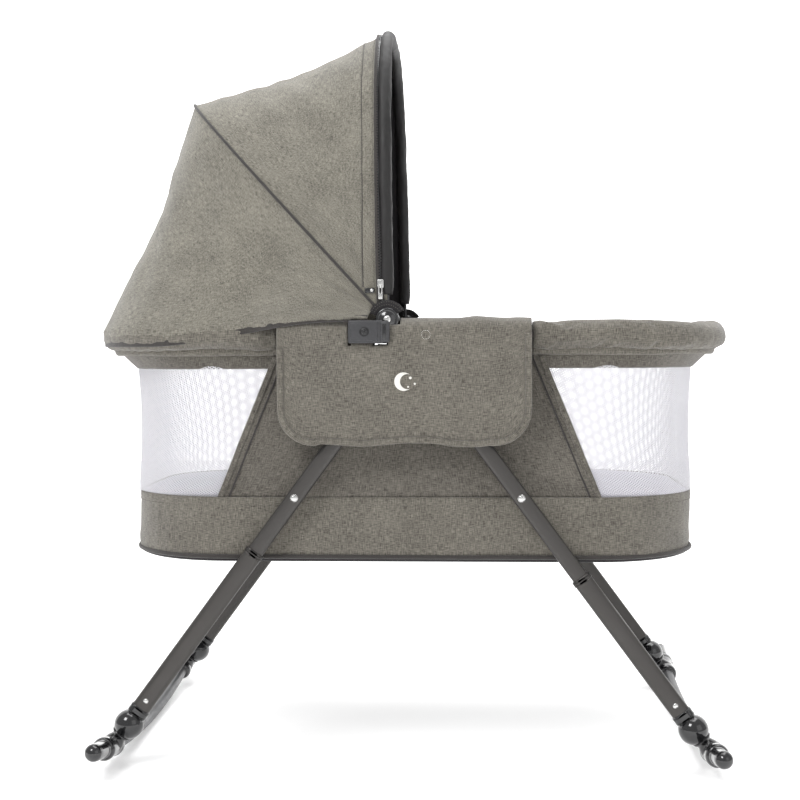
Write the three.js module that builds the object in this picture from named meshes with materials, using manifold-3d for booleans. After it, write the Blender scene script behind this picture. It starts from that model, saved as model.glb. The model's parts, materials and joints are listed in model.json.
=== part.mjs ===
// A folding bassinet on a rocking stand: a soft tub hung from two U-shaped rim rails, a three-hoop
// canopy clamped to the head rail, and two pairs of legs that close like compasses under two hubs.
// Millimetres, +Z up, origin on the floor under the middle of the tub. The canopy is at the head, -X.
// "left" is the -Y side and "right" the +Y side.

import * as THREE from 'three';
import { mergeVertices } from 'three/addons/utils/BufferGeometryUtils.js';
import Module from 'manifold-3d';

const wasm = await Module();
wasm.setup();

// Clearances
const GAP = 0.35;
const RUNNING = 0.4;
const BALL_CLEARANCE = 1;

// Driving dimensions: tub
const TUB_HALF_LENGTH = 409;
const TUB_HALF_WIDTH = 228;
const TUB_CORNER = 150;
const TUB_DEPTH = 314;
const BAND_HEIGHT = 90;
const BAND_THICKNESS = 4;
const BOARD_THICKNESS = 6;
const WALL_THICKNESS = 2.5;
const WALL_INSET = 3;
const WINDOW_SLANT = 80;
const MATTRESS_MARGIN = 25;
const MATTRESS_THICKNESS = 30;

// Driving dimensions: rim
const HUB_HEIGHT = 581;
const RAIL_ABOVE_HUB = 14;
const RAIL_RADIUS = 8;
const RAIL_WALL = 1.3;
const RIM_OVERHANG = 31;
const RIM_INSET = 2;
const PAD_RADIUS = 22;
const PAD_START = 176;
const PAD_DROP = 2.5;
const PAD_ROOM = 4;
const RAIL_HEIGHT = HUB_HEIGHT + RAIL_ABOVE_HUB;
const RAIL_PLANE = TUB_HALF_WIDTH - RIM_INSET;
const RAIL_OUTER = RAIL_PLANE + RAIL_RADIUS;
const RAIL_END = TUB_HALF_LENGTH + RIM_OVERHANG;
const RAIL_CORNER = TUB_CORNER;
const RAIL_PIVOT_OFFSET = RAIL_RADIUS + 4;
const PAD_HEIGHT = RAIL_HEIGHT - PAD_DROP;

// Driving dimensions: hubs
const PLATE = 3;
const WEB = 5;
const PIN_RADIUS = 3;
const PIN_RIM = 4;
const PIN_STAND = 0.5;
const RAIL_PIN_STAND = 1.5;
const HUB_SKIRT = 18;
const HUB_EDGE = 6;
const HUB_CORNER = 10;
const RAIL_PLAY = 1.2;
const LEG_PLAY = { inner: 1.8, outer: 2 };
const BUTTON_RADIUS = 9.5;
const BUTTON_STAND = 3.2;
const BUTTON_FLANGE = { rim: 2.5, thickness: 4, room: 2 };

// Driving dimensions: stand
const LEG_SPREAD = 386;
const KNUCKLE_HEIGHT = 58;
const KNUCKLE_RADIUS = 20.5;
const UPPER_LEG_WIDTH = 22.5;
const UPPER_LEG_DEPTH = 12;
const LEG_WALL = 1.4;
const LEG_TO_WEB = 1.77;
const UPPER_LEG_REACH = { head: 353, foot: 395 };
const LEG_SLEEVE = 50;
const LEG_END_IN_BALL = 0.6;
const ROCKER_OFFSET = 26;
const ROCKER_RADIUS = 10;
const ROCKER_CURVE_RADIUS = 1712;
const ROCKER_WALL = 1.6;
const CAP = { length: 55, wall: 1.5, ease: 1.05, nose: 14, play: 4.5, toCollar: 2 };
const COLLAR_LENGTH = 64;
const COLLAR_WALL = 6;
const STEM_RADIUS = 10.5;

// Where the hub's layers lie, from the rails outwards
const MIDDLE_PLATE = RAIL_OUTER + RAIL_PLAY;
const LEG_PLANE = MIDDLE_PLATE + PLATE + LEG_PLAY.inner + UPPER_LEG_DEPTH / 2;
const OUTER_PLATE = LEG_PLANE + UPPER_LEG_DEPTH / 2 + LEG_PLAY.outer;
const HUB_FACE = OUTER_PLATE + PLATE;
const BUTTON_TIP = HUB_FACE + BUTTON_STAND;
const BUTTON_REACH = BUTTON_RADIUS + BUTTON_FLANGE.rim + BUTTON_FLANGE.room;

// Where the legs lie
const LEAN = Math.atan2(LEG_SPREAD, HUB_HEIGHT - KNUCKLE_HEIGHT);
const LEG_TOP = UPPER_LEG_WIDTH / 2;
const LEG_PIVOT_OFFSET = LEG_TOP * (Math.sin(LEAN) + Math.cos(LEAN)) + WEB / 2 + LEG_TO_WEB;
const LEG_PIVOT_HEIGHT = HUB_HEIGHT - LEG_PIVOT_OFFSET / Math.tan(LEAN);
const APEX_TO_PIVOT = LEG_PIVOT_OFFSET / Math.sin(LEAN);
const LEG_LENGTH = Math.hypot(LEG_SPREAD, HUB_HEIGHT - KNUCKLE_HEIGHT) - APEX_TO_PIVOT;
const HUB_HALF_WIDTH = LEG_PIVOT_OFFSET + PIN_RADIUS + PIN_RIM;
const HUB_BOTTOM = LEG_PIVOT_HEIGHT - HUB_SKIRT;
const HUB_TOP = HUB_HEIGHT + BUTTON_REACH + HUB_EDGE;

// Where the rocker's pieces lie along it
const COLLAR_RADIUS = ROCKER_RADIUS + COLLAR_WALL;
const COLLAR_MIDDLE = LEG_PLANE - KNUCKLE_RADIUS + COLLAR_LENGTH / 2;
const CAP_MIDDLE = COLLAR_MIDDLE + COLLAR_LENGTH / 2 + CAP.toCollar + CAP.length / 2;
const ROCKER_HALF_LENGTH = CAP_MIDDLE + CAP.length / 2 - CAP.nose - CAP.play;

// Heights of the tub
const BASE_BOTTOM = RAIL_HEIGHT - TUB_DEPTH;
const BASE_TOP = BASE_BOTTOM + BAND_HEIGHT;
const WALL_TOP = PAD_HEIGHT - PAD_RADIUS - PAD_DROP;
const WINDOW_TOP_X = PAD_START + 5;
const WINDOW_BOTTOM_X = WINDOW_TOP_X + WINDOW_SLANT;

// Driving dimensions: flaps over the hubs
const FLAP_THICKNESS = 2.5;
const FLAP_EASE = 1.8;
const FLAP_DROP = 151;
const FLAP_CORNER = 45;
const FLAP_RISE = 16;
const FLAP_TUCK = 8;
const FLAP_FOOT_SHORT = 8;
const FLAP_OVER_PAD = 3;
const CLAMP_GRIP = 5;
const FLAP_INNER_ROOM = 7;
const FLAP_HEAD_X = -(PAD_START - GAP);
const FLAP_FOOT_X = PAD_START - FLAP_FOOT_SHORT;
const FLAP_BOTTOM = RAIL_HEIGHT - FLAP_DROP;
const FLAP_TOP = PAD_HEIGHT + PAD_RADIUS + FLAP_OVER_PAD;
const FLAP_OUTER = BUTTON_TIP + FLAP_EASE + FLAP_THICKNESS;
const FLAP_INNER = RAIL_PLANE - RAIL_RADIUS - CLAMP_GRIP - FLAP_INNER_ROOM;

// Driving dimensions: canopy
const HINGE_X = -26;
const HINGE_ABOVE_RAIL = 19;
const HOOP_WIRE = 2.6;
const HOOP_TO_HUB = 0.5;
const DISC_HALF_THICKNESS = 1.8;
const DISC_PLAY = 0.5;
const DISC_RIM = 6;
const REAR_HOOP_ABOVE_RAIL = 17;
const REAR_HOOP_TO_PAD = 4;
const SLEEVE_RADIUS = 9.5;
const SLEEVE_START = 66;
const CLAMP_LENGTH = 40;
const CLAMP_TO_HINGE = 12;
const CLAMP_BELOW_RAIL = 13;
const CLAMP_ABOVE_RAIL = 18;
const CLAMP_FACE_DEPTH = 7;
const CLAMP_BRIDGE = 8;
const CLAMP_SCREW_RADIUS = 5.5;
const EAR_RIM = 2;
const EAR_THICKNESS = 4;
const NOTCH_ROOM = 4;
const PANEL_THICKNESS = 2;
const PANEL_SAG = 16;
const CLOTH_START = 80;
const HINGE_HEIGHT = RAIL_HEIGHT + HINGE_ABOVE_RAIL;
const REAR_HOOP_HEIGHT = RAIL_HEIGHT + REAR_HOOP_ABOVE_RAIL;
const REAR_HOOP_OUTSET = PAD_RADIUS + REAR_HOOP_TO_PAD;
const KNUCKLE_DISC = PIN_RADIUS + DISC_RIM;
const FRONT_HOOP_PLANE = MIDDLE_PLATE + PLATE + HOOP_TO_HUB + HOOP_WIRE;
const MID_HOOP_PLANE = FRONT_HOOP_PLANE + DISC_HALF_THICKNESS + DISC_PLAY + HOOP_WIRE;
const EAR_PLANE = MID_HOOP_PLANE + HOOP_WIRE + DISC_PLAY;
const EAR_RADIUS = KNUCKLE_DISC + EAR_RIM;
const MID_HOOP = { reach: 430, angle: 132.5, halfWidth: MID_HOOP_PLANE, squareness: 3.2 };
const FRONT_HOOP = { reach: 419, angle: 91, halfWidth: FRONT_HOOP_PLANE, squareness: 3 };
const CLAMP_FOOT_X = HINGE_X - CLAMP_TO_HINGE;
const CLAMP_HEAD_X = CLAMP_FOOT_X - CLAMP_LENGTH;
const CLAMP_BOTTOM = RAIL_HEIGHT - CLAMP_BELOW_RAIL;
const CLAMP_TOP = RAIL_HEIGHT + CLAMP_ABOVE_RAIL;
const CLAMP_FACE = FLAP_OUTER + CLAMP_FACE_DEPTH;

const SIDES = [
  { name: 'left', y: -1 },
  { name: 'right', y: 1 },
];
const ENDS = [
  { name: 'head', x: -1 },
  { name: 'foot', x: 1 },
];

// Finishes
const material = (color, roughness, metalness) =>
  new THREE.MeshStandardMaterial({ color, roughness, metalness });
const FINISH = {
  frame: material(0x484644, 0.5, 0.6),
  railTube: material(0x5b5b5d, 0.45, 0.7),
  black: material(0x141414, 0.25, 0),
  plastic: material(0x3a3a3c, 0.55, 0),
  steel: material(0xb9bbbd, 0.3, 1),
  heather: material(0x706b62, 0.95, 0),
  binding: material(0x2b2a2b, 0.9, 0),
  mesh: material(0xe9e8f0, 0.9, 0),
  mattress: material(0xd8d6dc, 0.95, 0),
  wire: material(0x242426, 0.4, 0.4),
};

// Solids and booleans
function toSolid(geometry) {
  const bare = geometry.clone();
  bare.deleteAttribute('normal');
  bare.deleteAttribute('uv');
  const merged = mergeVertices(bare, 1e-4);
  const positions = Float32Array.from(merged.attributes.position.array);
  const triangles = Uint32Array.from(merged.index.array);
  return new wasm.Manifold(new wasm.Mesh({ numProp: 3, vertProperties: positions, triVerts: triangles }));
}

function toGeometry(solid) {
  const mesh = solid.getMesh();
  const geometry = new THREE.BufferGeometry();
  geometry.setAttribute('position', new THREE.BufferAttribute(Float32Array.from(mesh.vertProperties), 3));
  geometry.setIndex(new THREE.BufferAttribute(Uint32Array.from(mesh.triVerts), 1));
  return geometry;
}

function join(...geometries) {
  return toGeometry(geometries.map(toSolid).reduce((whole, piece) => whole.add(piece)));
}

function cut(geometry, ...tools) {
  return toGeometry(tools.map(toSolid).reduce((whole, tool) => whole.subtract(tool), toSolid(geometry)));
}

function common(geometry, tool) {
  return toGeometry(toSolid(geometry).intersect(toSolid(tool)));
}

// Basic shapes
function ringShape(outer, inner) {
  outer.holes.push(inner);
  return outer;
}

function circle(radius) {
  return new THREE.Shape().absarc(0, 0, radius, 0, 2 * Math.PI, false);
}

function stadium(width, depth) {
  const radius = depth / 2;
  const straight = (width - depth) / 2;
  const shape = new THREE.Shape();
  shape.absarc(straight, 0, radius, -Math.PI / 2, Math.PI / 2, false);
  shape.absarc(-straight, 0, radius, Math.PI / 2, 1.5 * Math.PI, false);
  return shape;
}

function roundedRectangle(halfLength, halfWidth, corner) {
  const x = halfLength - corner;
  const y = halfWidth - corner;
  const shape = new THREE.Shape();
  shape.absarc(x, y, corner, 0, Math.PI / 2, false);
  shape.absarc(-x, y, corner, Math.PI / 2, Math.PI, false);
  shape.absarc(-x, -y, corner, Math.PI, 1.5 * Math.PI, false);
  shape.absarc(x, -y, corner, 1.5 * Math.PI, 2 * Math.PI, false);
  return shape;
}

function extrude(shape, depth, curveSegments = 5) {
  return new THREE.ExtrudeGeometry(shape, { depth, bevelEnabled: false, curveSegments });
}

// A tube along a curve: outer and inner radius, with the number of sides even.
function tube(curve, outer, inner, sides, steps) {
  const section = inner > 0 ? ringShape(circle(outer), circle(inner)) : circle(outer);
  return new THREE.ExtrudeGeometry(section, {
    extrudePath: curve,
    steps,
    bevelEnabled: false,
    curveSegments: sides / 2,
  });
}

// A cylinder along Y between two distances from the centre plane, on either side.
function crossPin(radius, x, z, from, to, side, sides = 12) {
  const pin = new THREE.CylinderGeometry(radius, radius, to - from, sides);
  pin.translate(x, side * (from + to) / 2, z);
  return pin;
}

function block(x0, x1, y0, y1, z0, z1) {
  const box = new THREE.BoxGeometry(Math.abs(x1 - x0), Math.abs(y1 - y0), Math.abs(z1 - z0));
  return box.translate((x0 + x1) / 2, (y0 + y1) / 2, (z0 + z1) / 2);
}

// An outline in the XZ plane given a thickness along Y, between two distances from the centre plane.
function sidePlate(shape, from, to, side, curveSegments = 5) {
  const plate = extrude(shape, to - from, curveSegments);
  plate.rotateX(Math.PI / 2);
  plate.translate(0, side > 0 ? to : -from, 0);
  return plate;
}

// A closed solid through a row of rings, each a list of the same number of points.
function loft(rings) {
  const count = rings[0].length;
  const positions = rings.flat().flatMap((point) => [point.x, point.y, point.z]);
  const triangles = [];
  for (let row = 0; row < rings.length - 1; row += 1) {
    for (let i = 0; i < count; i += 1) {
      const a = row * count + i;
      const b = row * count + ((i + 1) % count);
      triangles.push(a, b, b + count, a, b + count, a + count);
    }
  }
  const last = (rings.length - 1) * count;
  const half = count / 2;
  for (let i = 0; i < half - 1; i += 1) {
    const mirror = count - 1 - i;
    triangles.push(i, mirror, mirror - 1, i, mirror - 1, i + 1);
    triangles.push(last + i, last + mirror - 1, last + mirror, last + i, last + i + 1, last + mirror - 1);
  }
  const geometry = new THREE.BufferGeometry();
  geometry.setAttribute('position', new THREE.BufferAttribute(new Float32Array(positions), 3));
  geometry.setIndex(triangles);
  return geometry;
}

// Part of a plan outline, lifted to a height, as a curve in space.
class PlanCurve extends THREE.Curve {
  constructor(path, height, start = 0, end = 1) {
    super();
    this.path = path;
    this.height = height;
    this.start = start;
    this.end = end;
  }

  getPoint(t, target = new THREE.Vector3()) {
    const point = this.path.getPointAt(this.start + (this.end - this.start) * t);
    return target.set(point.x, point.y, this.height);
  }
}

// A canopy hoop: half a superellipse that stands on the hinge line and leans at an angle above +X.
class HoopCurve extends THREE.Curve {
  constructor(hoop, start, inward = 0) {
    super();
    this.hoop = hoop;
    this.reach = hoop.reach - inward;
    this.halfWidth = hoop.halfWidth - inward;
    this.first = Math.asin((start / this.reach) ** (hoop.squareness / 2));
  }

  getPoint(t, target = new THREE.Vector3()) {
    const turn = this.first + (Math.PI - 2 * this.first) * t;
    const power = 2 / this.hoop.squareness;
    const across = -Math.sign(Math.cos(turn)) * Math.abs(Math.cos(turn)) ** power * this.halfWidth;
    const along = Math.sin(turn) ** power * this.reach;
    const lean = THREE.MathUtils.degToRad(this.hoop.angle);
    return target.set(HINGE_X + along * Math.cos(lean), across, HINGE_HEIGHT + along * Math.sin(lean));
  }
}

// The U of a rim rail in plan, from the left end round to the right end.
function railPlan(end, startX, outset = 0) {
  const corner = RAIL_CORNER + outset;
  const x = end.x * (RAIL_END - RAIL_CORNER);
  const y = RAIL_PLANE - RAIL_CORNER;
  const path = new THREE.Path();
  path.moveTo(end.x * startX, -(RAIL_PLANE + outset));
  path.lineTo(x, -(RAIL_PLANE + outset));
  if (end.x > 0) {
    path.absarc(x, -y, corner, -Math.PI / 2, 0, false);
    path.absarc(x, y, corner, 0, Math.PI / 2, false);
  } else {
    path.absarc(x, -y, corner, -Math.PI / 2, -Math.PI, true);
    path.absarc(x, y, corner, Math.PI, Math.PI / 2, true);
  }
  path.lineTo(end.x * startX, RAIL_PLANE + outset);
  return path;
}

const bassinet = new THREE.Group();

function place(name, geometry, finish, parent = bassinet) {
  const mesh = new THREE.Mesh(geometry, finish.clone());
  mesh.name = name;
  parent.add(mesh);
  return mesh;
}

// Legs: an upper tube that slides into a lower sleeve, with a ball knuckle at the foot
const LOWER_LEG_WIDTH = UPPER_LEG_WIDTH + 2 * (GAP + LEG_WALL);
const LOWER_LEG_DEPTH = UPPER_LEG_DEPTH + 2 * (GAP + LEG_WALL);

function legTube(width, depth, top, bottom) {
  const section = ringShape(stadium(width, depth), stadium(width - 2 * LEG_WALL, depth - 2 * LEG_WALL));
  return extrude(section, top - bottom, 3).translate(0, 0, bottom);
}

function knuckleBall(extra = 0) {
  return new THREE.SphereGeometry(KNUCKLE_RADIUS + extra, 16, 10);
}

function buildLeg(end, side) {
  const leg = new THREE.Group();
  leg.position.set(end.x * LEG_PIVOT_OFFSET, side.y * LEG_PLANE, LEG_PIVOT_HEIGHT);
  leg.rotation.y = -end.x * LEAN;
  bassinet.add(leg);

  const split = -(UPPER_LEG_REACH[end.name] - APEX_TO_PIVOT);
  const boreRadius = PIN_RADIUS + RUNNING;
  const bore = new THREE.CylinderGeometry(boreRadius, boreRadius, 2 * UPPER_LEG_DEPTH, 12);
  const upper = cut(legTube(UPPER_LEG_WIDTH, UPPER_LEG_DEPTH, LEG_TOP, split - LEG_SLEEVE), bore);
  place(`upper_leg_${end.name}_${side.name}`, upper, FINISH.frame, leg);

  const socket = knuckleBall(BALL_CLEARANCE).translate(0, 0, -LEG_LENGTH);
  const lowerEnd = -(LEG_LENGTH - LEG_END_IN_BALL * KNUCKLE_RADIUS);
  const lower = cut(legTube(LOWER_LEG_WIDTH, LOWER_LEG_DEPTH, split, lowerEnd), socket);
  place(`lower_leg_${end.name}_${side.name}`, lower, FINISH.frame, leg);

  const knuckle = place(`knuckle_${end.name}_${side.name}`, knuckleBall(), FINISH.black);
  knuckle.position.set(end.x * LEG_SPREAD, side.y * LEG_PLANE, KNUCKLE_HEIGHT);
}

// Rockers: a curved rail across each end, held by two collars whose stems turn on the knuckles
function rockerHeight(y) {
  return ROCKER_RADIUS + (y * y) / (2 * ROCKER_CURVE_RADIUS);
}

function rockerCurve(x, halfLength) {
  const tip = rockerHeight(halfLength);
  return new THREE.QuadraticBezierCurve3(
    new THREE.Vector3(x, -halfLength, tip),
    new THREE.Vector3(x, 0, 2 * ROCKER_RADIUS - tip),
    new THREE.Vector3(x, halfLength, tip),
  );
}

// Turns a piece made along +Y at the origin onto the rocker's tangent at a distance y from the middle.
function ontoRocker(geometry, x, y) {
  geometry.rotateX(Math.atan(y / ROCKER_CURVE_RADIUS));
  return geometry.translate(x, y, rockerHeight(y));
}

function buildCollar(end, side) {
  const x = end.x * (LEG_SPREAD + ROCKER_OFFSET);
  const barrel = new THREE.CylinderGeometry(COLLAR_RADIUS, COLLAR_RADIUS, COLLAR_LENGTH, 14);
  const body = ontoRocker(barrel, x, side.y * COLLAR_MIDDLE);
  const knuckle = new THREE.Vector3(end.x * LEG_SPREAD, side.y * LEG_PLANE, KNUCKLE_HEIGHT);
  const foot = new THREE.Vector3(x, side.y * LEG_PLANE, rockerHeight(LEG_PLANE));
  const stem = new THREE.CylinderGeometry(STEM_RADIUS, STEM_RADIUS, foot.distanceTo(knuckle), 12);
  const along = new THREE.Vector3().subVectors(foot, knuckle).normalize();
  stem.applyQuaternion(new THREE.Quaternion().setFromUnitVectors(new THREE.Vector3(0, 1, 0), along));
  stem.translate((foot.x + knuckle.x) / 2, foot.y, (foot.z + knuckle.z) / 2);
  const ball = knuckleBall(BALL_CLEARANCE).translate(knuckle.x, knuckle.y, knuckle.z);
  const bore = tube(rockerCurve(x, ROCKER_HALF_LENGTH), ROCKER_RADIUS + GAP, 0, 12, 12);
  place(`collar_${end.name}_${side.name}`, cut(join(body, stem), ball, bore), FINISH.black);
}

function buildRailCap(end, side) {
  const x = end.x * (LEG_SPREAD + ROCKER_OFFSET);
  const bore = ROCKER_RADIUS + CAP.ease;
  const outer = bore + CAP.wall;
  const mouth = -CAP.length / 2;
  const tip = CAP.length / 2;
  const profile = [
    new THREE.Vector2(bore, mouth),
    new THREE.Vector2(outer, mouth),
    new THREE.Vector2(outer, tip - CAP.nose / 2),
    new THREE.Vector2(outer * 0.85, tip - CAP.nose / 6),
    new THREE.Vector2(outer * 0.5, tip),
    new THREE.Vector2(0, tip),
    new THREE.Vector2(0, tip - CAP.nose),
    new THREE.Vector2(bore, tip - CAP.nose),
    new THREE.Vector2(bore, mouth),
  ];
  const cap = new THREE.LatheGeometry(profile, 14);
  if (side.y < 0) cap.rotateX(Math.PI);
  place(`rail_cap_${end.name}_${side.name}`, ontoRocker(cap, x, side.y * CAP_MIDDLE), FINISH.black);
}

function buildRocker(end) {
  const curve = rockerCurve(end.x * (LEG_SPREAD + ROCKER_OFFSET), ROCKER_HALF_LENGTH);
  const rail = tube(curve, ROCKER_RADIUS, ROCKER_RADIUS - ROCKER_WALL, 12, 12);
  place(`rocker_rail_${end.name}`, rail, FINISH.railTube);
  for (const side of SIDES) {
    buildCollar(end, side);
    buildRailCap(end, side);
  }
}

// Hubs: a middle plate between the rails and the legs, an outer plate over the legs, and webs that join them
function hubOutline() {
  const outline = new THREE.Shape();
  const corners = roundedRectangle(HUB_HALF_WIDTH, (HUB_TOP - HUB_BOTTOM) / 2, HUB_CORNER).getPoints(2);
  const middle = new THREE.Vector2(0, (HUB_TOP + HUB_BOTTOM) / 2);
  outline.setFromPoints(corners.map((point) => point.add(middle)));
  return outline;
}

function buildHub(side) {
  const middleFace = MIDDLE_PLATE + PLATE;
  const plates = [
    sidePlate(hubOutline(), MIDDLE_PLATE, middleFace, side.y),
    sidePlate(hubOutline(), OUTER_PLATE, HUB_FACE, side.y),
  ];
  const inner = side.y * (MIDDLE_PLATE + PLATE / 2);
  const outer = side.y * (OUTER_PLATE + PLATE / 2);
  const halfLintel = HUB_HALF_WIDTH / 2;
  const webs = [
    block(-WEB / 2, WEB / 2, inner, outer, HUB_BOTTOM + 1, HUB_HEIGHT - BUTTON_REACH),
    block(-halfLintel, halfLintel, inner, outer, HUB_HEIGHT + BUTTON_REACH, HUB_TOP - 1),
  ];
  const boreRadius = PIN_RADIUS + GAP;
  const holes = [crossPin(BUTTON_RADIUS + GAP, 0, HUB_HEIGHT, OUTER_PLATE - 1, HUB_FACE + 1, side.y, 20)];
  for (const end of ENDS) {
    const legX = end.x * LEG_PIVOT_OFFSET;
    const railX = end.x * RAIL_PIVOT_OFFSET;
    holes.push(crossPin(boreRadius, legX, LEG_PIVOT_HEIGHT, MIDDLE_PLATE - 1, HUB_FACE + 1, side.y));
    holes.push(crossPin(boreRadius, railX, RAIL_HEIGHT, MIDDLE_PLATE - 1, middleFace + 1, side.y));
    const legPin = crossPin(PIN_RADIUS, legX, LEG_PIVOT_HEIGHT, MIDDLE_PLATE, HUB_FACE + PIN_STAND, side.y);
    place(`leg_pin_${end.name}_${side.name}`, legPin, FINISH.steel);
    const pinEnd = RAIL_PLANE - RAIL_RADIUS - RAIL_PIN_STAND;
    const railPin = crossPin(PIN_RADIUS, railX, RAIL_HEIGHT, pinEnd, middleFace, side.y);
    place(`rail_pin_${end.name}_${side.name}`, railPin, FINISH.steel);
  }
  place(`hub_housing_${side.name}`, cut(join(...plates, ...webs), ...holes), FINISH.plastic);
}

// The release button: a plunger with a flange that the outer plate holds in
function buildButton(side) {
  const flangeFace = OUTER_PLATE - GAP;
  const flangeBack = flangeFace - BUTTON_FLANGE.thickness;
  const flangeRadius = BUTTON_RADIUS + BUTTON_FLANGE.rim;
  const bevel = 1;
  const profile = [
    new THREE.Vector2(0, flangeBack),
    new THREE.Vector2(flangeRadius, flangeBack),
    new THREE.Vector2(flangeRadius, flangeFace),
    new THREE.Vector2(BUTTON_RADIUS, flangeFace),
    new THREE.Vector2(BUTTON_RADIUS, BUTTON_TIP - bevel),
    new THREE.Vector2(BUTTON_RADIUS - 1.5 * bevel, BUTTON_TIP),
    new THREE.Vector2(0, BUTTON_TIP),
  ];
  const button = new THREE.LatheGeometry(profile, 20);
  if (side.y < 0) button.rotateX(Math.PI);
  place(`release_button_${side.name}`, button.translate(0, 0, HUB_HEIGHT), FINISH.black);
}

// Rim: the U rails and the padded sleeves round them
function buildRim(end) {
  const railStart = RAIL_PIVOT_OFFSET - RAIL_RADIUS + 1;
  const railCurve = new PlanCurve(railPlan(end, railStart), RAIL_HEIGHT);
  const rail = tube(railCurve, RAIL_RADIUS, RAIL_RADIUS - RAIL_WALL, 8, 24);
  const [inside, outside] = [RAIL_PLANE - 2 * RAIL_RADIUS, RAIL_PLANE + 2 * RAIL_RADIUS];
  const bores = SIDES.map((side) =>
    crossPin(PIN_RADIUS + GAP, end.x * RAIL_PIVOT_OFFSET, RAIL_HEIGHT, inside, outside, side.y));
  place(`rim_rail_${end.name}`, cut(rail, ...bores), FINISH.railTube);

  const padPath = railPlan(end, PAD_START);
  const pad = tube(new PlanCurve(padPath, PAD_HEIGHT), PAD_RADIUS, 0, 10, 20);
  const channelCurve = new PlanCurve(railPlan(end, PAD_START - PAD_RADIUS), RAIL_HEIGHT);
  const channel = tube(channelCurve, RAIL_RADIUS + PAD_ROOM, 0, 6, 20);
  place(`rim_pad_${end.name}`, cut(pad, channel), FINISH.heather);
}

// Tub: base band, floor board, side panels, mesh ends, mattress and the flaps over the hubs
function ring(halfLength, halfWidth, corner, thickness, bottom, top) {
  const inner = roundedRectangle(halfLength - thickness, halfWidth - thickness, corner - thickness);
  const outer = roundedRectangle(halfLength, halfWidth, corner);
  return extrude(ringShape(outer, inner), top - bottom, 4).translate(0, 0, bottom);
}

// The tub's plan, smaller all round by an inset.
function insetPlan(inset) {
  return roundedRectangle(TUB_HALF_LENGTH - inset, TUB_HALF_WIDTH - inset, TUB_CORNER - inset);
}

// A prism across the tub whose slanted sides are the windows' edges, moved in or out by a shift.
function windowPrism(shift) {
  const slope = (WINDOW_BOTTOM_X - WINDOW_TOP_X) / (WALL_TOP - BASE_TOP);
  const beyond = 10;
  const bottom = WINDOW_BOTTOM_X + slope * beyond + shift;
  const top = WINDOW_TOP_X - slope * beyond + shift;
  const outline = new THREE.Shape();
  outline.moveTo(-bottom, BASE_TOP - beyond);
  outline.lineTo(bottom, BASE_TOP - beyond);
  outline.lineTo(top, WALL_TOP + beyond);
  outline.lineTo(-top, WALL_TOP + beyond);
  return sidePlate(outline, -2 * TUB_HALF_WIDTH, 2 * TUB_HALF_WIDTH, 1);
}

function buildTub() {
  const band = ring(TUB_HALF_LENGTH, TUB_HALF_WIDTH, TUB_CORNER, BAND_THICKNESS, BASE_BOTTOM, BASE_TOP);
  place('base_band', band, FINISH.heather);
  const boardInset = BAND_THICKNESS + GAP;
  const board = insetPlan(boardInset);
  place('floor_board', extrude(board, BOARD_THICKNESS, 4).translate(0, 0, BASE_BOTTOM), FINISH.binding);

  const wall = ring(
    TUB_HALF_LENGTH - WALL_INSET,
    TUB_HALF_WIDTH - WALL_INSET,
    TUB_CORNER - WALL_INSET,
    WALL_THICKNESS,
    BASE_TOP + GAP,
    WALL_TOP,
  );
  const panels = common(wall, windowPrism(-GAP / 2));
  const ends = cut(wall, windowPrism(GAP / 2));
  for (const side of SIDES) {
    const far = side.y * 2 * TUB_HALF_WIDTH;
    const half = block(-TUB_HALF_LENGTH, TUB_HALF_LENGTH, 0, far, BASE_TOP, WALL_TOP + 5);
    place(`side_panel_${side.name}`, common(panels, half), FINISH.heather);
  }
  for (const end of ENDS) {
    const far = end.x * 2 * TUB_HALF_LENGTH;
    const half = block(0, far, -TUB_HALF_WIDTH, TUB_HALF_WIDTH, BASE_TOP, WALL_TOP + 5);
    place(`mesh_end_${end.name}`, common(ends, half), FINISH.mesh);
  }

  const mattressBottom = BASE_BOTTOM + BOARD_THICKNESS + GAP;
  const mattress = extrude(insetPlan(BAND_THICKNESS + MATTRESS_MARGIN), MATTRESS_THICKNESS, 4);
  place('mattress', mattress.translate(0, 0, mattressBottom), FINISH.mattress);
}

// The flap's section: down the outside, over the rail, and a short way down the inside.
function flapSection() {
  const middle = (FLAP_OUTER + FLAP_INNER) / 2;
  const half = (FLAP_OUTER - FLAP_INNER) / 2;
  const shoulder = FLAP_TOP - FLAP_RISE;
  const section = new THREE.Shape();
  section.moveTo(FLAP_OUTER, FLAP_BOTTOM);
  section.absellipse(middle, shoulder, half, FLAP_RISE, 0, Math.PI, false);
  section.lineTo(FLAP_INNER, WALL_TOP - FLAP_TUCK);
  section.lineTo(FLAP_INNER + FLAP_THICKNESS, WALL_TOP - FLAP_TUCK);
  const thinRise = FLAP_RISE - FLAP_THICKNESS;
  section.absellipse(middle, shoulder, half - FLAP_THICKNESS, thinRise, Math.PI, 0, true);
  section.lineTo(FLAP_OUTER - FLAP_THICKNESS, FLAP_BOTTOM);
  return section;
}

// A wedge that rounds one lower corner of a flap when it is cut away.
function cornerTool(x, direction, side) {
  const outline = new THREE.Shape();
  outline.moveTo(x - direction, FLAP_BOTTOM - 1);
  outline.lineTo(x + direction * FLAP_CORNER, FLAP_BOTTOM - 1);
  for (let i = 0; i <= 5; i += 1) {
    const turn = (i / 5) * (Math.PI / 2);
    const dx = FLAP_CORNER * (1 - Math.sin(turn));
    const dz = FLAP_CORNER * (1 - Math.cos(turn));
    outline.lineTo(x + direction * dx, FLAP_BOTTOM + dz);
  }
  outline.lineTo(x - direction, FLAP_BOTTOM + FLAP_CORNER);
  return sidePlate(outline, FLAP_OUTER - 10, FLAP_OUTER + 10, side.y);
}

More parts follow.
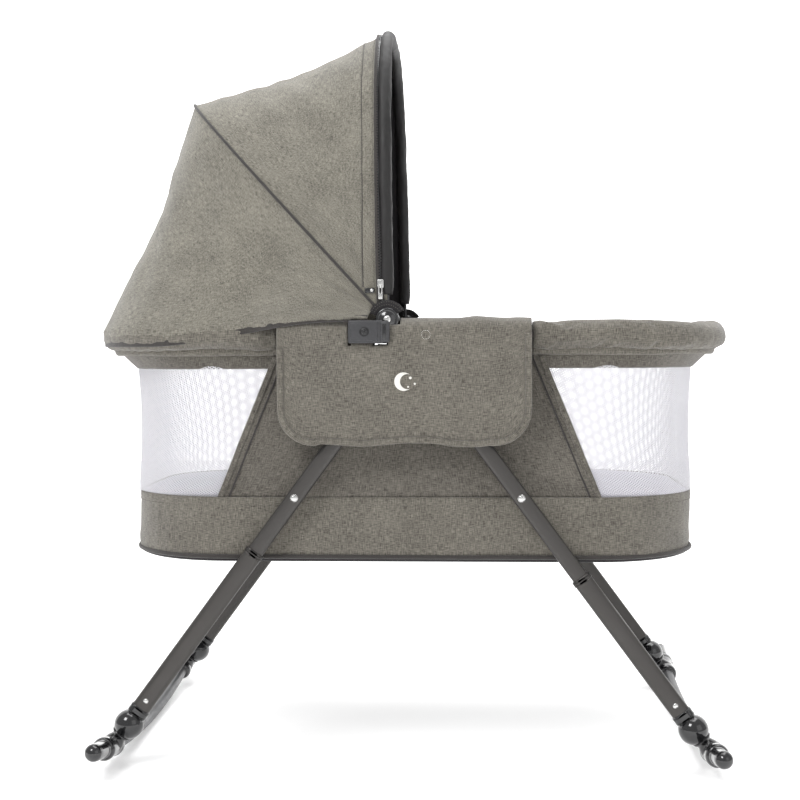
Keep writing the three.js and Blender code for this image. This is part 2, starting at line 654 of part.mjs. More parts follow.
function buildFlap(side) {
  const sheet = extrude(flapSection(), FLAP_FOOT_X - FLAP_HEAD_X, 5);
  sheet.rotateX(Math.PI / 2);
  sheet.rotateZ(Math.PI / 2);
  sheet.translate(FLAP_HEAD_X, 0, 0);
  if (side.y < 0) sheet.rotateZ(Math.PI).translate(FLAP_HEAD_X + FLAP_FOOT_X, 0, 0);
  const notch = block(
    CLAMP_HEAD_X - NOTCH_ROOM,
    HINGE_X + EAR_RADIUS + NOTCH_ROOM,
    side.y * (FLAP_INNER - 5),
    side.y * (FLAP_OUTER + 5),
    CLAMP_BOTTOM - NOTCH_ROOM,
    FLAP_TOP + 5,
  );
  const hoopRoom = block(
    FLAP_HEAD_X - 5,
    CLAMP_HEAD_X,
    side.y * (RAIL_PLANE + REAR_HOOP_OUTSET - HOOP_WIRE - NOTCH_ROOM),
    side.y * (FLAP_OUTER + 5),
    REAR_HOOP_HEIGHT - HOOP_WIRE - NOTCH_ROOM,
    FLAP_TOP + 5,
  );
  const corners = [cornerTool(FLAP_HEAD_X, 1, side), cornerTool(FLAP_FOOT_X, -1, side)];
  place(`rim_flap_${side.name}`, cut(sheet, notch, hoopRoom, ...corners), FINISH.heather);
}

// Canopy: clamps on the head rail, a fixed rear hoop, two turning hoops, and the cloth between them
function hoopTube(hoop, radius) {
  return tube(new HoopCurve(hoop, KNUCKLE_DISC - 2), radius, 0, 6, 22);
}

function hoopWithKnuckles(hoop) {
  const inner = hoop.halfWidth - DISC_HALF_THICKNESS;
  const outer = hoop.halfWidth + DISC_HALF_THICKNESS;
  const discs = SIDES.map((side) => crossPin(KNUCKLE_DISC, HINGE_X, HINGE_HEIGHT, inner, outer, side.y, 12));
  const wire = hoopTube(hoop, HOOP_WIRE);
  const bores = SIDES.map((side) =>
    crossPin(PIN_RADIUS + RUNNING, HINGE_X, HINGE_HEIGHT, inner - 3, outer + 3, side.y));
  return cut(join(wire, ...discs), ...bores);
}

function buildClamp(side) {
  const lip = 0.8;
  const grip = block(
    CLAMP_HEAD_X,
    CLAMP_FOOT_X,
    side.y * (RAIL_PLANE - RAIL_RADIUS - CLAMP_GRIP),
    side.y * (RAIL_OUTER + lip),
    CLAMP_BOTTOM,
    CLAMP_TOP,
  );
  const shoulder = CLAMP_TOP - CLAMP_BRIDGE;
  const [inner, face] = [side.y * RAIL_OUTER, side.y * CLAMP_FACE];
  const bridge = block(CLAMP_HEAD_X, CLAMP_FOOT_X, inner, face, shoulder, CLAMP_TOP);
  const overHinge = CLAMP_FOOT_X + 10;
  const plate = block(CLAMP_HEAD_X, overHinge, side.y * (FLAP_OUTER + GAP), face, CLAMP_BOTTOM, CLAMP_TOP);
  const earFace = EAR_PLANE + EAR_THICKNESS;
  const ear = crossPin(EAR_RADIUS, HINGE_X, HINGE_HEIGHT, EAR_PLANE, earFace, side.y, 18);
  const arm = block(
    CLAMP_FOOT_X - 6,
    HINGE_X,
    side.y * EAR_PLANE,
    side.y * earFace,
    shoulder,
    CLAMP_TOP + 3,
  );
  const middle = (CLAMP_HEAD_X + CLAMP_FOOT_X) / 2;
  const railBore = crossPin(RAIL_RADIUS + 2 * GAP, 0, 0, -CLAMP_LENGTH, CLAMP_LENGTH, 1, 16);
  railBore.rotateZ(Math.PI / 2).translate(middle, side.y * RAIL_PLANE, RAIL_HEIGHT);
  const pinBore = crossPin(PIN_RADIUS + GAP, HINGE_X, HINGE_HEIGHT, EAR_PLANE - 2, earFace + 2, side.y);
  const screwHeight = (CLAMP_BOTTOM + CLAMP_TOP) / 2;
  const seat = CLAMP_FACE - 2;
  const screwSeat = crossPin(CLAMP_SCREW_RADIUS, middle, screwHeight, seat, CLAMP_FACE + 1, side.y, 16);
  const clamp = cut(join(grip, bridge, plate, ear, arm), railBore, pinBore, screwSeat);
  place(`canopy_clamp_${side.name}`, clamp, FINISH.plastic);
  const headRadius = CLAMP_SCREW_RADIUS - GAP;
  const screw = crossPin(headRadius, middle, screwHeight, seat + GAP, CLAMP_FACE - 0.5, side.y, 16);
  place(`clamp_screw_${side.name}`, screw, FINISH.plastic);

  const pinStart = FRONT_HOOP_PLANE - DISC_HALF_THICKNESS - RAIL_PIN_STAND;
  const head = { base: earFace + GAP, tip: earFace + 2, overhang: 2 };
  const pinProfile = [
    new THREE.Vector2(0, pinStart),
    new THREE.Vector2(PIN_RADIUS, pinStart),
    new THREE.Vector2(PIN_RADIUS, head.base),
    new THREE.Vector2(PIN_RADIUS + head.overhang, head.base),
    new THREE.Vector2(PIN_RADIUS + head.overhang / 2, head.tip),
    new THREE.Vector2(0, head.tip),
  ];
  const pin = new THREE.LatheGeometry(pinProfile, 12);
  if (side.y < 0) pin.rotateX(Math.PI);
  place(`canopy_pin_${side.name}`, pin.translate(HINGE_X, 0, HINGE_HEIGHT), FINISH.steel);
}

// Cloth between two edge curves: a thin shell that sags towards the inside between them.
function canopyPanel(rearEdge, frontEdge, rearShare, frontShare, rows) {
  const centre = new THREE.Vector3(HINGE_X - 150, 0, HINGE_HEIGHT + 30);
  const strips = 3;
  const rings = [];
  for (let row = 0; row <= rows; row += 1) {
    const a = rearEdge.getPointAt(row / rows);
    const b = frontEdge.getPointAt(row / rows);
    const outer = [];
    const inner = [];
    for (let i = 0; i <= strips; i += 1) {
      const share = rearShare + (frontShare - rearShare) * (i / strips);
      const point = new THREE.Vector3().lerpVectors(a, b, share);
      const out = new THREE.Vector3().subVectors(point, centre).normalize();
      const width = Math.min(1, a.distanceTo(b) / 200);
      const sag = -PANEL_SAG * width * Math.sin(Math.PI * share);
      const skin = HOOP_WIRE + 1.2 + sag;
      outer.push(point.clone().addScaledVector(out, skin + PANEL_THICKNESS));
      inner.push(point.clone().addScaledVector(out, skin));
    }
    rings.push([...outer, ...inner.reverse()]);
  }
  return loft(rings);
}

function buildCanopy() {
  for (const side of SIDES) buildClamp(side);
  const head = ENDS[0];
  const rearStart = -CLAMP_HEAD_X + HOOP_WIRE + GAP;
  const rearPlan = railPlan(head, rearStart, REAR_HOOP_OUTSET);
  place('rear_hoop', tube(new PlanCurve(rearPlan, REAR_HOOP_HEIGHT), HOOP_WIRE, 0, 6, 22), FINISH.wire);
  place('mid_hoop', hoopWithKnuckles(MID_HOOP), FINISH.wire);
  place('front_hoop', hoopWithKnuckles(FRONT_HOOP), FINISH.wire);
  const sleeve = tube(new HoopCurve(FRONT_HOOP, SLEEVE_START), SLEEVE_RADIUS, 0, 8, 18);
  place('hoop_sleeve', cut(sleeve, hoopTube(FRONT_HOOP, HOOP_WIRE + 1)), FINISH.binding);

  const rearPanelPlan = railPlan(head, -HINGE_X + CLOTH_START, REAR_HOOP_OUTSET);
  const rearEdge = new PlanCurve(rearPanelPlan, REAR_HOOP_HEIGHT + 3);
  const midEdge = new HoopCurve(MID_HOOP, CLOTH_START, -1);
  const frontEdge = new HoopCurve(FRONT_HOOP, CLOTH_START, -7);
  place('canopy_rear_panel', canopyPanel(rearEdge, midEdge, 0, 0.985, 18), FINISH.heather);
  place('canopy_front_panel', canopyPanel(midEdge, frontEdge, 0.015, 0.9, 18), FINISH.heather);
}

for (const end of ENDS) {
  for (const side of SIDES) buildLeg(end, side);
  buildRocker(end);
  buildRim(end);
}
for (const side of SIDES) {
  buildHub(side);
  buildButton(side);
  buildFlap(side);
}
buildTub();
buildCanopy();

export default bassinet;
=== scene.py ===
"""Looks of a folding bassinet: heather cloth tub, padded rim, hooped canopy and a rocking stand."""

import json
import logging
import math
from dataclasses import dataclass, field
from enum import Enum
from typing import Callable, Iterable, Sequence, Union

import bmesh
import bpy
from mathutils import Matrix, Vector, noise

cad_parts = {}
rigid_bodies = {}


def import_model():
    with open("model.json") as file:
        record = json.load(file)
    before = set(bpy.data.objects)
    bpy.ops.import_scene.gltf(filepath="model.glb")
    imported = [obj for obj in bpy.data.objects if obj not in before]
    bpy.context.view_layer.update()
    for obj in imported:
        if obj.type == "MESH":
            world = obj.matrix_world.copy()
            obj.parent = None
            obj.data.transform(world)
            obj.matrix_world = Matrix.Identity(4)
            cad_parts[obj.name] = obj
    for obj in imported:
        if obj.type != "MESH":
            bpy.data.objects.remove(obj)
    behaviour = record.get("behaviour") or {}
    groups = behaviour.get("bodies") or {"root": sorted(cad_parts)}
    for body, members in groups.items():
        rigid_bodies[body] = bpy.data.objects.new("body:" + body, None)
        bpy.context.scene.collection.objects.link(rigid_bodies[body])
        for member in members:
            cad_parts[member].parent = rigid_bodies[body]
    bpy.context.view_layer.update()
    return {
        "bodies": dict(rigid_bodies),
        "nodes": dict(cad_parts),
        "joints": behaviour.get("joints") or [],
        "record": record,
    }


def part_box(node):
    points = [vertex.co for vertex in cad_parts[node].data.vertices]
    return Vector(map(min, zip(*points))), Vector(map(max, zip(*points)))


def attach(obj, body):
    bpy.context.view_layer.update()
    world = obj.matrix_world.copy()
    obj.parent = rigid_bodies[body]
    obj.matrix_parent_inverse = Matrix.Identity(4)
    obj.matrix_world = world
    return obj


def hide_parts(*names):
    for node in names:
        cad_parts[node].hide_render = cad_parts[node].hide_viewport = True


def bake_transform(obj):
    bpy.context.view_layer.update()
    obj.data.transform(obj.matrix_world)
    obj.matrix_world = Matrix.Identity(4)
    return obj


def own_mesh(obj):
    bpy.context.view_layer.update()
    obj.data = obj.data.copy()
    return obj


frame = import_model()

LOG = logging.getLogger("bassinet")
MM = 0.001

Piece, Material, BMesh = bpy.types.Object, bpy.types.Material, bmesh.types.BMesh
Tree, Node, Socket = bpy.types.NodeTree, bpy.types.Node, bpy.types.NodeSocket
Value = Union[Socket, float, Sequence[float]]
Section = Sequence[tuple[float, float]]


class Side(Enum):
    """The two long sides of the bassinet, by their sign along Y."""

    LEFT = -1
    RIGHT = 1

    @property
    def label(self) -> str:
        """The side's name as the frame's nodes spell it."""
        return self.name.lower()


class End(Enum):
    """The two ends of the bassinet, by their sign along X."""

    HEAD = -1
    FOOT = 1

    @property
    def label(self) -> str:
        """The end's name as the frame's nodes spell it."""
        return self.name.lower()


class Slot(str, Enum):
    """Names of the record's material slots."""

    LEG_PAINT = "leg_paint"
    RAIL_TUBE = "rail_tube"
    BLACK_PLASTIC = "black_plastic"
    GREY_PLASTIC = "grey_plastic"
    STEEL = "steel"
    HOOP_WIRE = "hoop_wire"
    DARK_CLOTH = "dark_cloth"
    MESH_CLOTH = "mesh_cloth"
    MATTRESS_COVER = "mattress_cover"
    HEATHER_CLOTH = "heather_cloth"


# ---------------------------------------------------------------- curves and meshes


def smoothstep(low: float, high: float, value: float) -> float:
    """A soft step from 0 at low to 1 at high."""
    t = min(1.0, max(0.0, (value - low) / (high - low)))
    return t * t * (3 - 2 * t)


def bump(centre: float, width: float, value: float) -> float:
    """A bell of height 1 at centre that fades over width."""
    return math.exp(-(((value - centre) / width) ** 2))


def circle(radius: float, count: int) -> list[tuple[float, float]]:
    """Points of a circle as section coordinates.

    Args:
        radius: The circle's radius in metres.
        count: How many points go round it.

    Returns:
        The points in order.
    """
    return [
        (radius * math.cos(2 * math.pi * i / count), radius * math.sin(2 * math.pi * i / count))
        for i in range(count)
    ]


def stadium(width: float, depth: float, arc: int = 10) -> list[tuple[float, float]]:
    """An oval tube's section: two half rounds joined by flats.

    Args:
        width: The longer side.
        depth: The shorter side, which is also the rounds' diameter.
        arc: How many steps each half round has.

    Returns:
        The section's points in order.
    """
    straight, radius = (width - depth) / 2, depth / 2
    points = []
    for sign, start in ((1, -math.pi / 2), (-1, math.pi / 2)):
        for i in range(arc + 1):
            turn = start + math.pi * i / arc
            points.append((sign * straight + radius * math.cos(turn), radius * math.sin(turn)))
    return points


def resample(points: Sequence[Vector], count: int) -> list[Vector]:
    """Evenly spaced points along a polyline.

    Args:
        points: The polyline.
        count: How many steps the result has.

    Returns:
        count + 1 points, the ends included.
    """
    lengths = [0.0]
    for a, b in zip(points, points[1:]):
        lengths.append(lengths[-1] + (b - a).length)
    result, k = [], 0
    for i in range(count + 1):
        want = lengths[-1] * i / count
        while k < len(points) - 2 and lengths[k + 1] < want:
            k += 1
        span = lengths[k + 1] - lengths[k]
        share = 0.0 if span < 1e-12 else (want - lengths[k]) / span
        result.append(points[k].lerp(points[k + 1], min(1.0, share)))
    return result


def path_length(points: Sequence[Vector]) -> float:
    """The length of a polyline."""
    return sum((b - a).length for a, b in zip(points, points[1:]))


def rounded_outline(half_length: float, half_width: float, corner: float, arc: int = 16) -> list[Vector]:
    """A rounded rectangle in plan, closed, starting at the middle of the left side.

    Args:
        half_length: Half the size along X.
        half_width: Half the size along Y.
        corner: The corner radius.
        arc: How many steps each corner has.

    Returns:
        The outline's points, the last one not repeated.
    """
    points = [Vector((0, -half_width, 0))]
    for sx, sy, start in ((1, -1, -90), (1, 1, 0), (-1, 1, 90), (-1, -1, 180)):
        for i in range(arc + 1):
            turn = math.radians(start + 90 * i / arc)
            x = sx * (half_length - corner) + corner * math.cos(turn)
            y = sy * (half_width - corner) + corner * math.sin(turn)
            points.append(Vector((x, y, 0)))
    return points


def new_object(name: str, bm: BMesh, smooth: bool = True) -> Piece:
    """Turns a bmesh into a linked object.

    Args:
        name: The piece's name.
        bm: The mesh, which is freed.
        smooth: Whether its faces are shaded smooth.

    Returns:
        The new object.
    """
    mesh = bpy.data.meshes.new(name)
    bmesh.ops.recalc_face_normals(bm, faces=bm.faces)
    bm.to_mesh(mesh)
    bm.free()
    for polygon in mesh.polygons:
        polygon.use_smooth = smooth
    made = bpy.data.objects.new(name, mesh)
    bpy.context.scene.collection.objects.link(made)
    return made


def add_grid(
    bm: BMesh,
    rows: Sequence[Sequence[Vector]],
    close_rows: bool = False,
    close_columns: bool = False,
    caps: bool = False,
) -> None:
    """Adds a grid of points as quads, with a UV map that measures metres along and across it.

    Args:
        bm: The mesh to add to.
        rows: The grid's points, row by row.
        close_rows: Whether the last row joins the first.
        close_columns: Whether each row's last point joins its first.
        caps: Whether the first and last rows are filled.
    """
    uv = bm.loops.layers.uv.verify()
    verts = [[bm.verts.new(p) for p in row] for row in rows]
    count, width = len(rows), len(rows[0])
    along = [0.0]
    stride = max(1, width // 4)
    for a, b in zip(rows, rows[1:]):
        along.append(along[-1] + max((q - p).length for p, q in zip(a[::stride], b[::stride])))
    along.append(along[-1] + (rows[0][0] - rows[-1][0]).length)
    middle = rows[count // 2]
    across = [0.0]
    for a, b in zip(middle, list(middle[1:]) + [middle[0]]):
        across.append(across[-1] + (b - a).length)
    for i in range(count if close_rows else count - 1):
        for j in range(width if close_columns else width - 1):
            i2, j2 = (i + 1) % count, (j + 1) % width
            face = bm.faces.new((verts[i][j], verts[i][j2], verts[i2][j2], verts[i2][j]))
            spots = ((i, j), (i, j + 1), (i + 1, j + 1), (i + 1, j))
            for loop, (a, b) in zip(face.loops, spots):
                loop[uv].uv = (along[a], across[b])
    if caps:
        for row in (verts[0], verts[-1]):
            face = bm.faces.new(row)
            for loop in face.loops:
                loop[uv].uv = (loop.vert.co.x, loop.vert.co.z)


def skin(name: str, rows: Sequence[Sequence[Vector]], **options) -> Piece:
    """A piece made of one grid; options are those of add_grid."""
    bm = bmesh.new()
    add_grid(bm, rows, **options)
    return new_object(name, bm)


def frames_along(path: Sequence[Vector], up: Vector) -> list[tuple[Vector, Vector]]:
    """Section axes at each point of a path, kept as close to one direction as the path lets them.

    Args:
        path: The path's points.
        up: The direction that the sections' second axis keeps to.

    Returns:
        A pair of unit vectors for each point.
    """
    axes = []
    for i, _ in enumerate(path):
        before, after = path[max(0, i - 1)], path[min(len(path) - 1, i + 1)]
        tangent = (after - before).normalized()
        first = tangent.cross(up).normalized()
        axes.append((first, first.cross(tangent).normalized()))
    return axes


def add_sweep(
    bm: BMesh,
    path: Sequence[Vector],
    section: Section,
    up: Vector = Vector((0, 0, 1)),
    scale: Callable[[float], float] | None = None,
    caps: bool = True,
) -> None:
    """Adds a section carried along a path.

    Args:
        bm: The mesh to add to.
        path: The path's points.
        section: The section's points, closed, as (first axis, second axis).
        up: The direction that the section's second axis keeps to.
        scale: The section's scale by share of the path, or None for 1.
        caps: Whether the ends are filled.
    """
    axes = frames_along(path, up)
    rows = []
    for i, (point, (first, second)) in enumerate(zip(path, axes)):
        size = scale(i / (len(path) - 1)) if scale else 1.0
        rows.append([point + size * (a * first + b * second) for a, b in section])
    add_grid(bm, rows, close_columns=True, caps=caps)


def sweep(name: str, path: Sequence[Vector], section: Section, **options) -> Piece:
    """A piece made of one sweep; options are those of add_sweep."""
    bm = bmesh.new()
    add_sweep(bm, path, section, **options)
    return new_object(name, bm)


def add_lathe(
    bm: BMesh,
    profile: Section,
    origin: Vector,
    axis: Vector,
    count: int = 32,
) -> None:
    """Adds a turned shape.

    Args:
        bm: The mesh to add to.
        profile: (radius, distance along the axis) pairs from one end to the other.
        origin: Where the axis starts.
        axis: The axis' direction.
        count: How many steps go round it.
    """
    axis = axis.normalized()
    first = axis.orthogonal().normalized()
    second = axis.cross(first)
    rows = []
    for radius, along in profile:
        radius = max(radius, 2e-5)
        ring = []
        for i in range(count):
            turn = 2 * math.pi * i / count
            ring.append(origin + axis * along + radius * (math.cos(turn) * first + math.sin(turn) * second))
        rows.append(ring)
    add_grid(bm, rows, close_columns=True, caps=True)


def lathe(name: str, profile: Section, origin: Vector, axis: Vector, count: int = 32) -> Piece:
    """A piece made of one turned shape."""
    bm = bmesh.new()
    add_lathe(bm, profile, origin, axis, count)
    return new_object(name, bm)


def add_rounded_box(bm: BMesh, low: Vector, high: Vector, radius: float) -> None:
    """Adds a box with rounded edges between two corners."""
    made = bmesh.ops.create_cube(bm, size=1.0)
    verts = made["verts"]
    centre, size = (low + high) / 2, high - low
    for vert in verts:
        vert.co = Vector((vert.co.x * size.x, vert.co.y * size.y, vert.co.z * size.z)) + centre
    edges = {edge for vert in verts for edge in vert.link_edges}
    bmesh.ops.bevel(bm, geom=list(edges), offset=radius, segments=3, affect="EDGES", profile=0.5)


def add_stitches(
    bm: BMesh, path: Sequence[Vector], normal: Callable[[Vector], Vector], pitch: float = 4.0 * MM
) -> None:
    """Adds a row of short raised stitches along a path.

    Args:
        bm: The mesh to add to.
        path: The seam's line on the cloth.
        normal: Gives the cloth's outward direction at a point.
        pitch: The distance from one stitch to the next.
    """
    count = max(2, int(path_length(path) / pitch))
    line = resample(path, count)
    thread, share = 0.45 * MM, 0.62
    for a, b in zip(line, line[1:]):
        tip = a.lerp(b, share)
        out = normal(a)
        mid = (a + tip) / 2 + out * thread
        side = (tip - a).cross(out).normalized() * thread
        ring = [a, mid - side, tip, mid + side, mid + out * thread]
        verts = [bm.verts.new(p) for p in ring]
        for i in range(4):
            bm.faces.new((verts[i], verts[(i + 1) % 4], verts[4]))
        bm.faces.new((verts[3], verts[2], verts[1], verts[0]))


def stitching(
    name: str, lines: Iterable[Sequence[Vector]], normal: Callable[[Vector], Vector], pitch: float = 4.0 * MM
) -> Piece:
    """A piece made of rows of stitches; normal and pitch are those of add_stitches."""
    bm = bmesh.new()
    for line in lines:
        add_stitches(bm, line, normal, pitch)
    return new_object(name, bm, smooth=False)


def thicken(piece: Piece, thickness: float, offset: float = -1.0) -> None:
    """Gives a cloth sheet its thickness with a modifier."""
    modifier = piece.modifiers.new("thickness", "SOLIDIFY")
    modifier.thickness = thickness
    modifier.offset = offset


def refine(piece: Piece, levels: int = 1) -> None:
    """Rounds a mesh with a subdivision modifier."""
    modifier = piece.modifiers.new("round", "SUBSURF")
    modifier.levels = modifier.render_levels = levels


def cloth_area(piece: Piece) -> float:
    """The area of a sheet that has no thickness yet."""
    return sum(polygon.area for polygon in piece.data.polygons)


def crease(point: Vector, scale: float, seed: float) -> float:
    """Soft irregular folds, from -1 to 1, at a point."""
    return noise.noise(point * scale + Vector((seed, -seed, 2 * seed)))


# ---------------------------------------------------------------- shader groups


class Graph:
    """A small helper that adds and links shader nodes in one tree."""

    def __init__(self, tree: Tree) -> None:
        """Keeps the tree that nodes are added to."""
        self.tree = tree

    def add(self, kind: str, inputs: dict | None = None, **settings) -> Node:
        """Adds a node.

        Args:
            kind: The node's type name, without ShaderNode.
            inputs: Values or sockets by input name or index.
            **settings: The node's own settings.

        Returns:
            The new node.
        """
        node = self.tree.nodes.new(kind if kind.startswith("NodeGroup") else f"ShaderNode{kind}")
        for key, value in settings.items():
            setattr(node, key, value)
        self.feed(node, inputs or {})
        return node

    def feed(self, node: Node, inputs: dict[str | int, Value]) -> None:
        """Gives a node its inputs: a socket is linked, and any other value is set."""
        for key, value in inputs.items():
            if isinstance(value, Socket):
                self.tree.links.new(value, node.inputs[key])
            else:
                node.inputs[key].default_value = value

    def math(self, operation: str, a: Value, b: Value = 0.0, c: Value = 0.0) -> Socket:
        """The output of a Math node."""
        return self.add("Math", {0: a, 1: b, 2: c}, operation=operation).outputs[0]

    def remap(
        self, value: Value, low: float, high: float, to_low: float = 0.0, to_high: float = 1.0
    ) -> Socket:
        """A value brought smoothly from one range to another."""
        inputs = {"Value": value, "From Min": low, "From Max": high, "To Min": to_low, "To Max": to_high}
        return self.add("MapRange", inputs, interpolation_type="SMOOTHSTEP").outputs[0]

    def scaled(self, vector: Socket, x: float, y: float, z: float) -> Socket:
        """A vector with each part multiplied."""
        return self.add("VectorMath", {0: vector, 1: (x, y, z)}, operation="MULTIPLY").outputs[0]

    def noise(
        self, vector: Socket, scale: float, detail: float = 2.0, roughness: float = 0.5
    ) -> Socket:
        """The value of a noise texture."""
        inputs = {"Vector": vector, "Scale": scale, "Detail": detail, "Roughness": roughness}
        return self.add("TexNoise", inputs).outputs[0]

    def blend(self, factor: Value, a: Value, b: Value) -> Socket:
        """A mix of two colours."""
        return self.add("Mix", {0: factor, 6: a, 7: b}, data_type="RGBA").outputs[2]


def new_group(
    name: str, inputs: dict[str, str], outputs: dict[str, str]
) -> tuple[Tree, Graph, dict[str, Socket], dict[str, Socket]]:
    """Starts a shader node group with named sockets.

    Args:
        name: The group's name.
        inputs: Socket names with their types, such as "Float", "Color" or "Vector".
        outputs: The same for the outputs.

    Returns:
        The tree, a graph helper, the input sockets and the output sockets by name.
    """
    tree = bpy.data.node_groups.new(name, "ShaderNodeTree")
    for direction, sockets in (("INPUT", inputs), ("OUTPUT", outputs)):
        for label, kind in sockets.items():
            tree.interface.new_socket(label, in_out=direction, socket_type=f"NodeSocket{kind}")
    graph = Graph(tree)
    entry, leave = graph.add("NodeGroupInput"), graph.add("NodeGroupOutput")
    return tree, graph, {n: entry.outputs[n] for n in inputs}, {n: leave.inputs[n] for n in outputs}


class ShaderGroups:
    """Effects that several finishes share, each built once."""

    def __init__(self) -> None:
        """Builds every group."""
        self.heather = self._heather()
        self.weave = self._weave()
        self.wear = self._wear()
        self.grain = self._grain()

    @staticmethod
    def _heather() -> Tree:
        """Flecked yarns: streaks along and across the cloth, and slow drift in tone."""
        tree, g, i, o = new_group(
            "heather_yarn",
            {"Coordinates": "Vector", "Light": "Color", "Dark": "Color", "Contrast": "Float"},
            {"Color": "Color", "Fleck": "Float"},
        )
        along = g.noise(g.scaled(i["Coordinates"], 95.0, 1050.0, 1.0), 1.0, 2.0, 0.65)
        across = g.noise(g.scaled(i["Coordinates"], 1050.0, 120.0, 1.0), 1.0, 2.0, 0.65)
        cloud = g.noise(g.scaled(i["Coordinates"], 14.0, 14.0, 14.0), 1.0, 3.0, 0.6)
        fleck = g.math("ADD", g.math("MULTIPLY", along, 0.5), g.math("MULTIPLY", across, 0.5))
        tone = g.math("ADD", fleck, g.math("MULTIPLY", g.math("SUBTRACT", cloud, 0.5), 0.16))
        spread = g.math("MULTIPLY", g.math("SUBTRACT", tone, 0.5), i["Contrast"])
        share = g.add("Clamp", {"Value": g.math("ADD", spread, 0.5)}).outputs[0]
        tree.links.new(g.blend(share, i["Dark"], i["Light"]), o["Color"])
        tree.links.new(fleck, o["Fleck"])
        return tree

    @staticmethod
    def _weave() -> Tree:
        """The height of a plain weave of the given pitch."""
        tree, g, i, o = new_group(
            "plain_weave", {"Coordinates": "Vector", "Pitch": "Float"}, {"Height": "Float"}
        )
        split = g.add("SeparateXYZ", {0: i["Coordinates"]})
        turns = g.math("DIVIDE", math.pi, i["Pitch"])
        warp = g.math("SINE", g.math("MULTIPLY", split.outputs[0], turns))
        weft = g.math("SINE", g.math("MULTIPLY", split.outputs[1], turns))
        over = g.math("MULTIPLY", warp, weft)
        tree.links.new(g.math("ADD", g.math("MULTIPLY", over, 0.5), 0.5), o["Height"])
        return tree

    @staticmethod
    def _wear() -> Tree:
        """A mask of rubbed edges, broken up by noise."""
        tree, g, i, o = new_group("edge_wear", {"Amount": "Float", "Scale": "Float"}, {"Mask": "Float"})
        geometry = g.add("NewGeometry")
        place = g.add("TexCoord").outputs["Object"]
        edge = g.remap(geometry.outputs["Pointiness"], 0.52, 0.62)
        speckle = g.add("TexNoise", {"Vector": place, "Scale": i["Scale"], "Detail": 4.0}).outputs[0]
        broken = g.remap(speckle, 0.42, 0.68)
        tree.links.new(g.math("MULTIPLY", g.math("MULTIPLY", edge, broken), i["Amount"]), o["Mask"])
        return tree

    @staticmethod
    def _grain() -> Tree:
        """Fine moulded or powder-coated grain, and soft smudges."""
        tree, g, i, o = new_group("fine_grain", {"Scale": "Float"}, {"Height": "Float", "Smudge": "Float"})
        place = g.add("TexCoord").outputs["Object"]
        fine = g.add("TexNoise", {"Vector": place, "Scale": i["Scale"], "Detail": 3.0}).outputs[0]
        smudge = g.noise(place, 18.0, 4.0, 0.6)
        tree.links.new(fine, o["Height"])
        tree.links.new(smudge, o["Smudge"])
        return tree


def start_material(name: str) -> tuple[Material, Graph, Node]:
    """A new node material.

    Args:
        name: The material's name.

    Returns:
        The material, its graph and its Principled shader.
    """
    material = bpy.data.materials.new(name)
    material.use_nodes = True
    shader = material.node_tree.nodes["Principled BSDF"]
    return material, Graph(material.node_tree), shader


def use_group(graph: Graph, tree: Tree, **inputs) -> Node:
    """Places a group in a material with its own values."""
    node = graph.add("Group", node_tree=tree)
    graph.feed(node, inputs)
    return node


def rgba(colour: Sequence[float]) -> tuple[float, float, float, float]:
    """A colour with full alpha."""
    return (colour[0], colour[1], colour[2], 1.0)


def feed_bump(
    graph: Graph, shader: Node, height: Socket, strength: float, distance: float
) -> None:
    """Feeds a height into a shader's normal."""
    node = graph.add("Bump", {"Height": height, "Strength": strength, "Distance": distance})
    graph.feed(shader, {"Normal": node.outputs[0]})


# ---------------------------------------------------------------- finishes


@dataclass(frozen=True)
class WovenCloth:
    """Flecked woven cloth with a fuzzy sheen."""

    name: str
    light: tuple[float, float, float]
    dark: tuple[float, float, float]
    contrast: float = 2.6
    pitch: float = 0.9 * MM
    bump: float = 0.5
    sheen: float = 0.25

    def build(self, groups: ShaderGroups) -> Material:
        """Builds the material from the shared groups."""
        material, g, shader = start_material(self.name)
        place = g.add("UVMap").outputs[0]
        tones = {"Light": rgba(self.light), "Dark": rgba(self.dark), "Contrast": self.contrast}
        yarn = use_group(g, groups.heather, Coordinates=place, **tones)
        weave = use_group(g, groups.weave, Coordinates=place, Pitch=self.pitch)
        g.feed(shader, {"Base Color": yarn.outputs["Color"], "Roughness": 0.93})
        g.feed(shader, {"Specular IOR Level": 0.2, "Sheen Weight": self.sheen, "Sheen Roughness": 0.55})
        yarns = g.math("MULTIPLY", yarn.outputs["Fleck"], 0.8)
        height = g.math("ADD", g.math("MULTIPLY", weave.outputs[0], 0.5), yarns)
        feed_bump(g, shader, height, self.bump, 0.5 * MM)
        return material


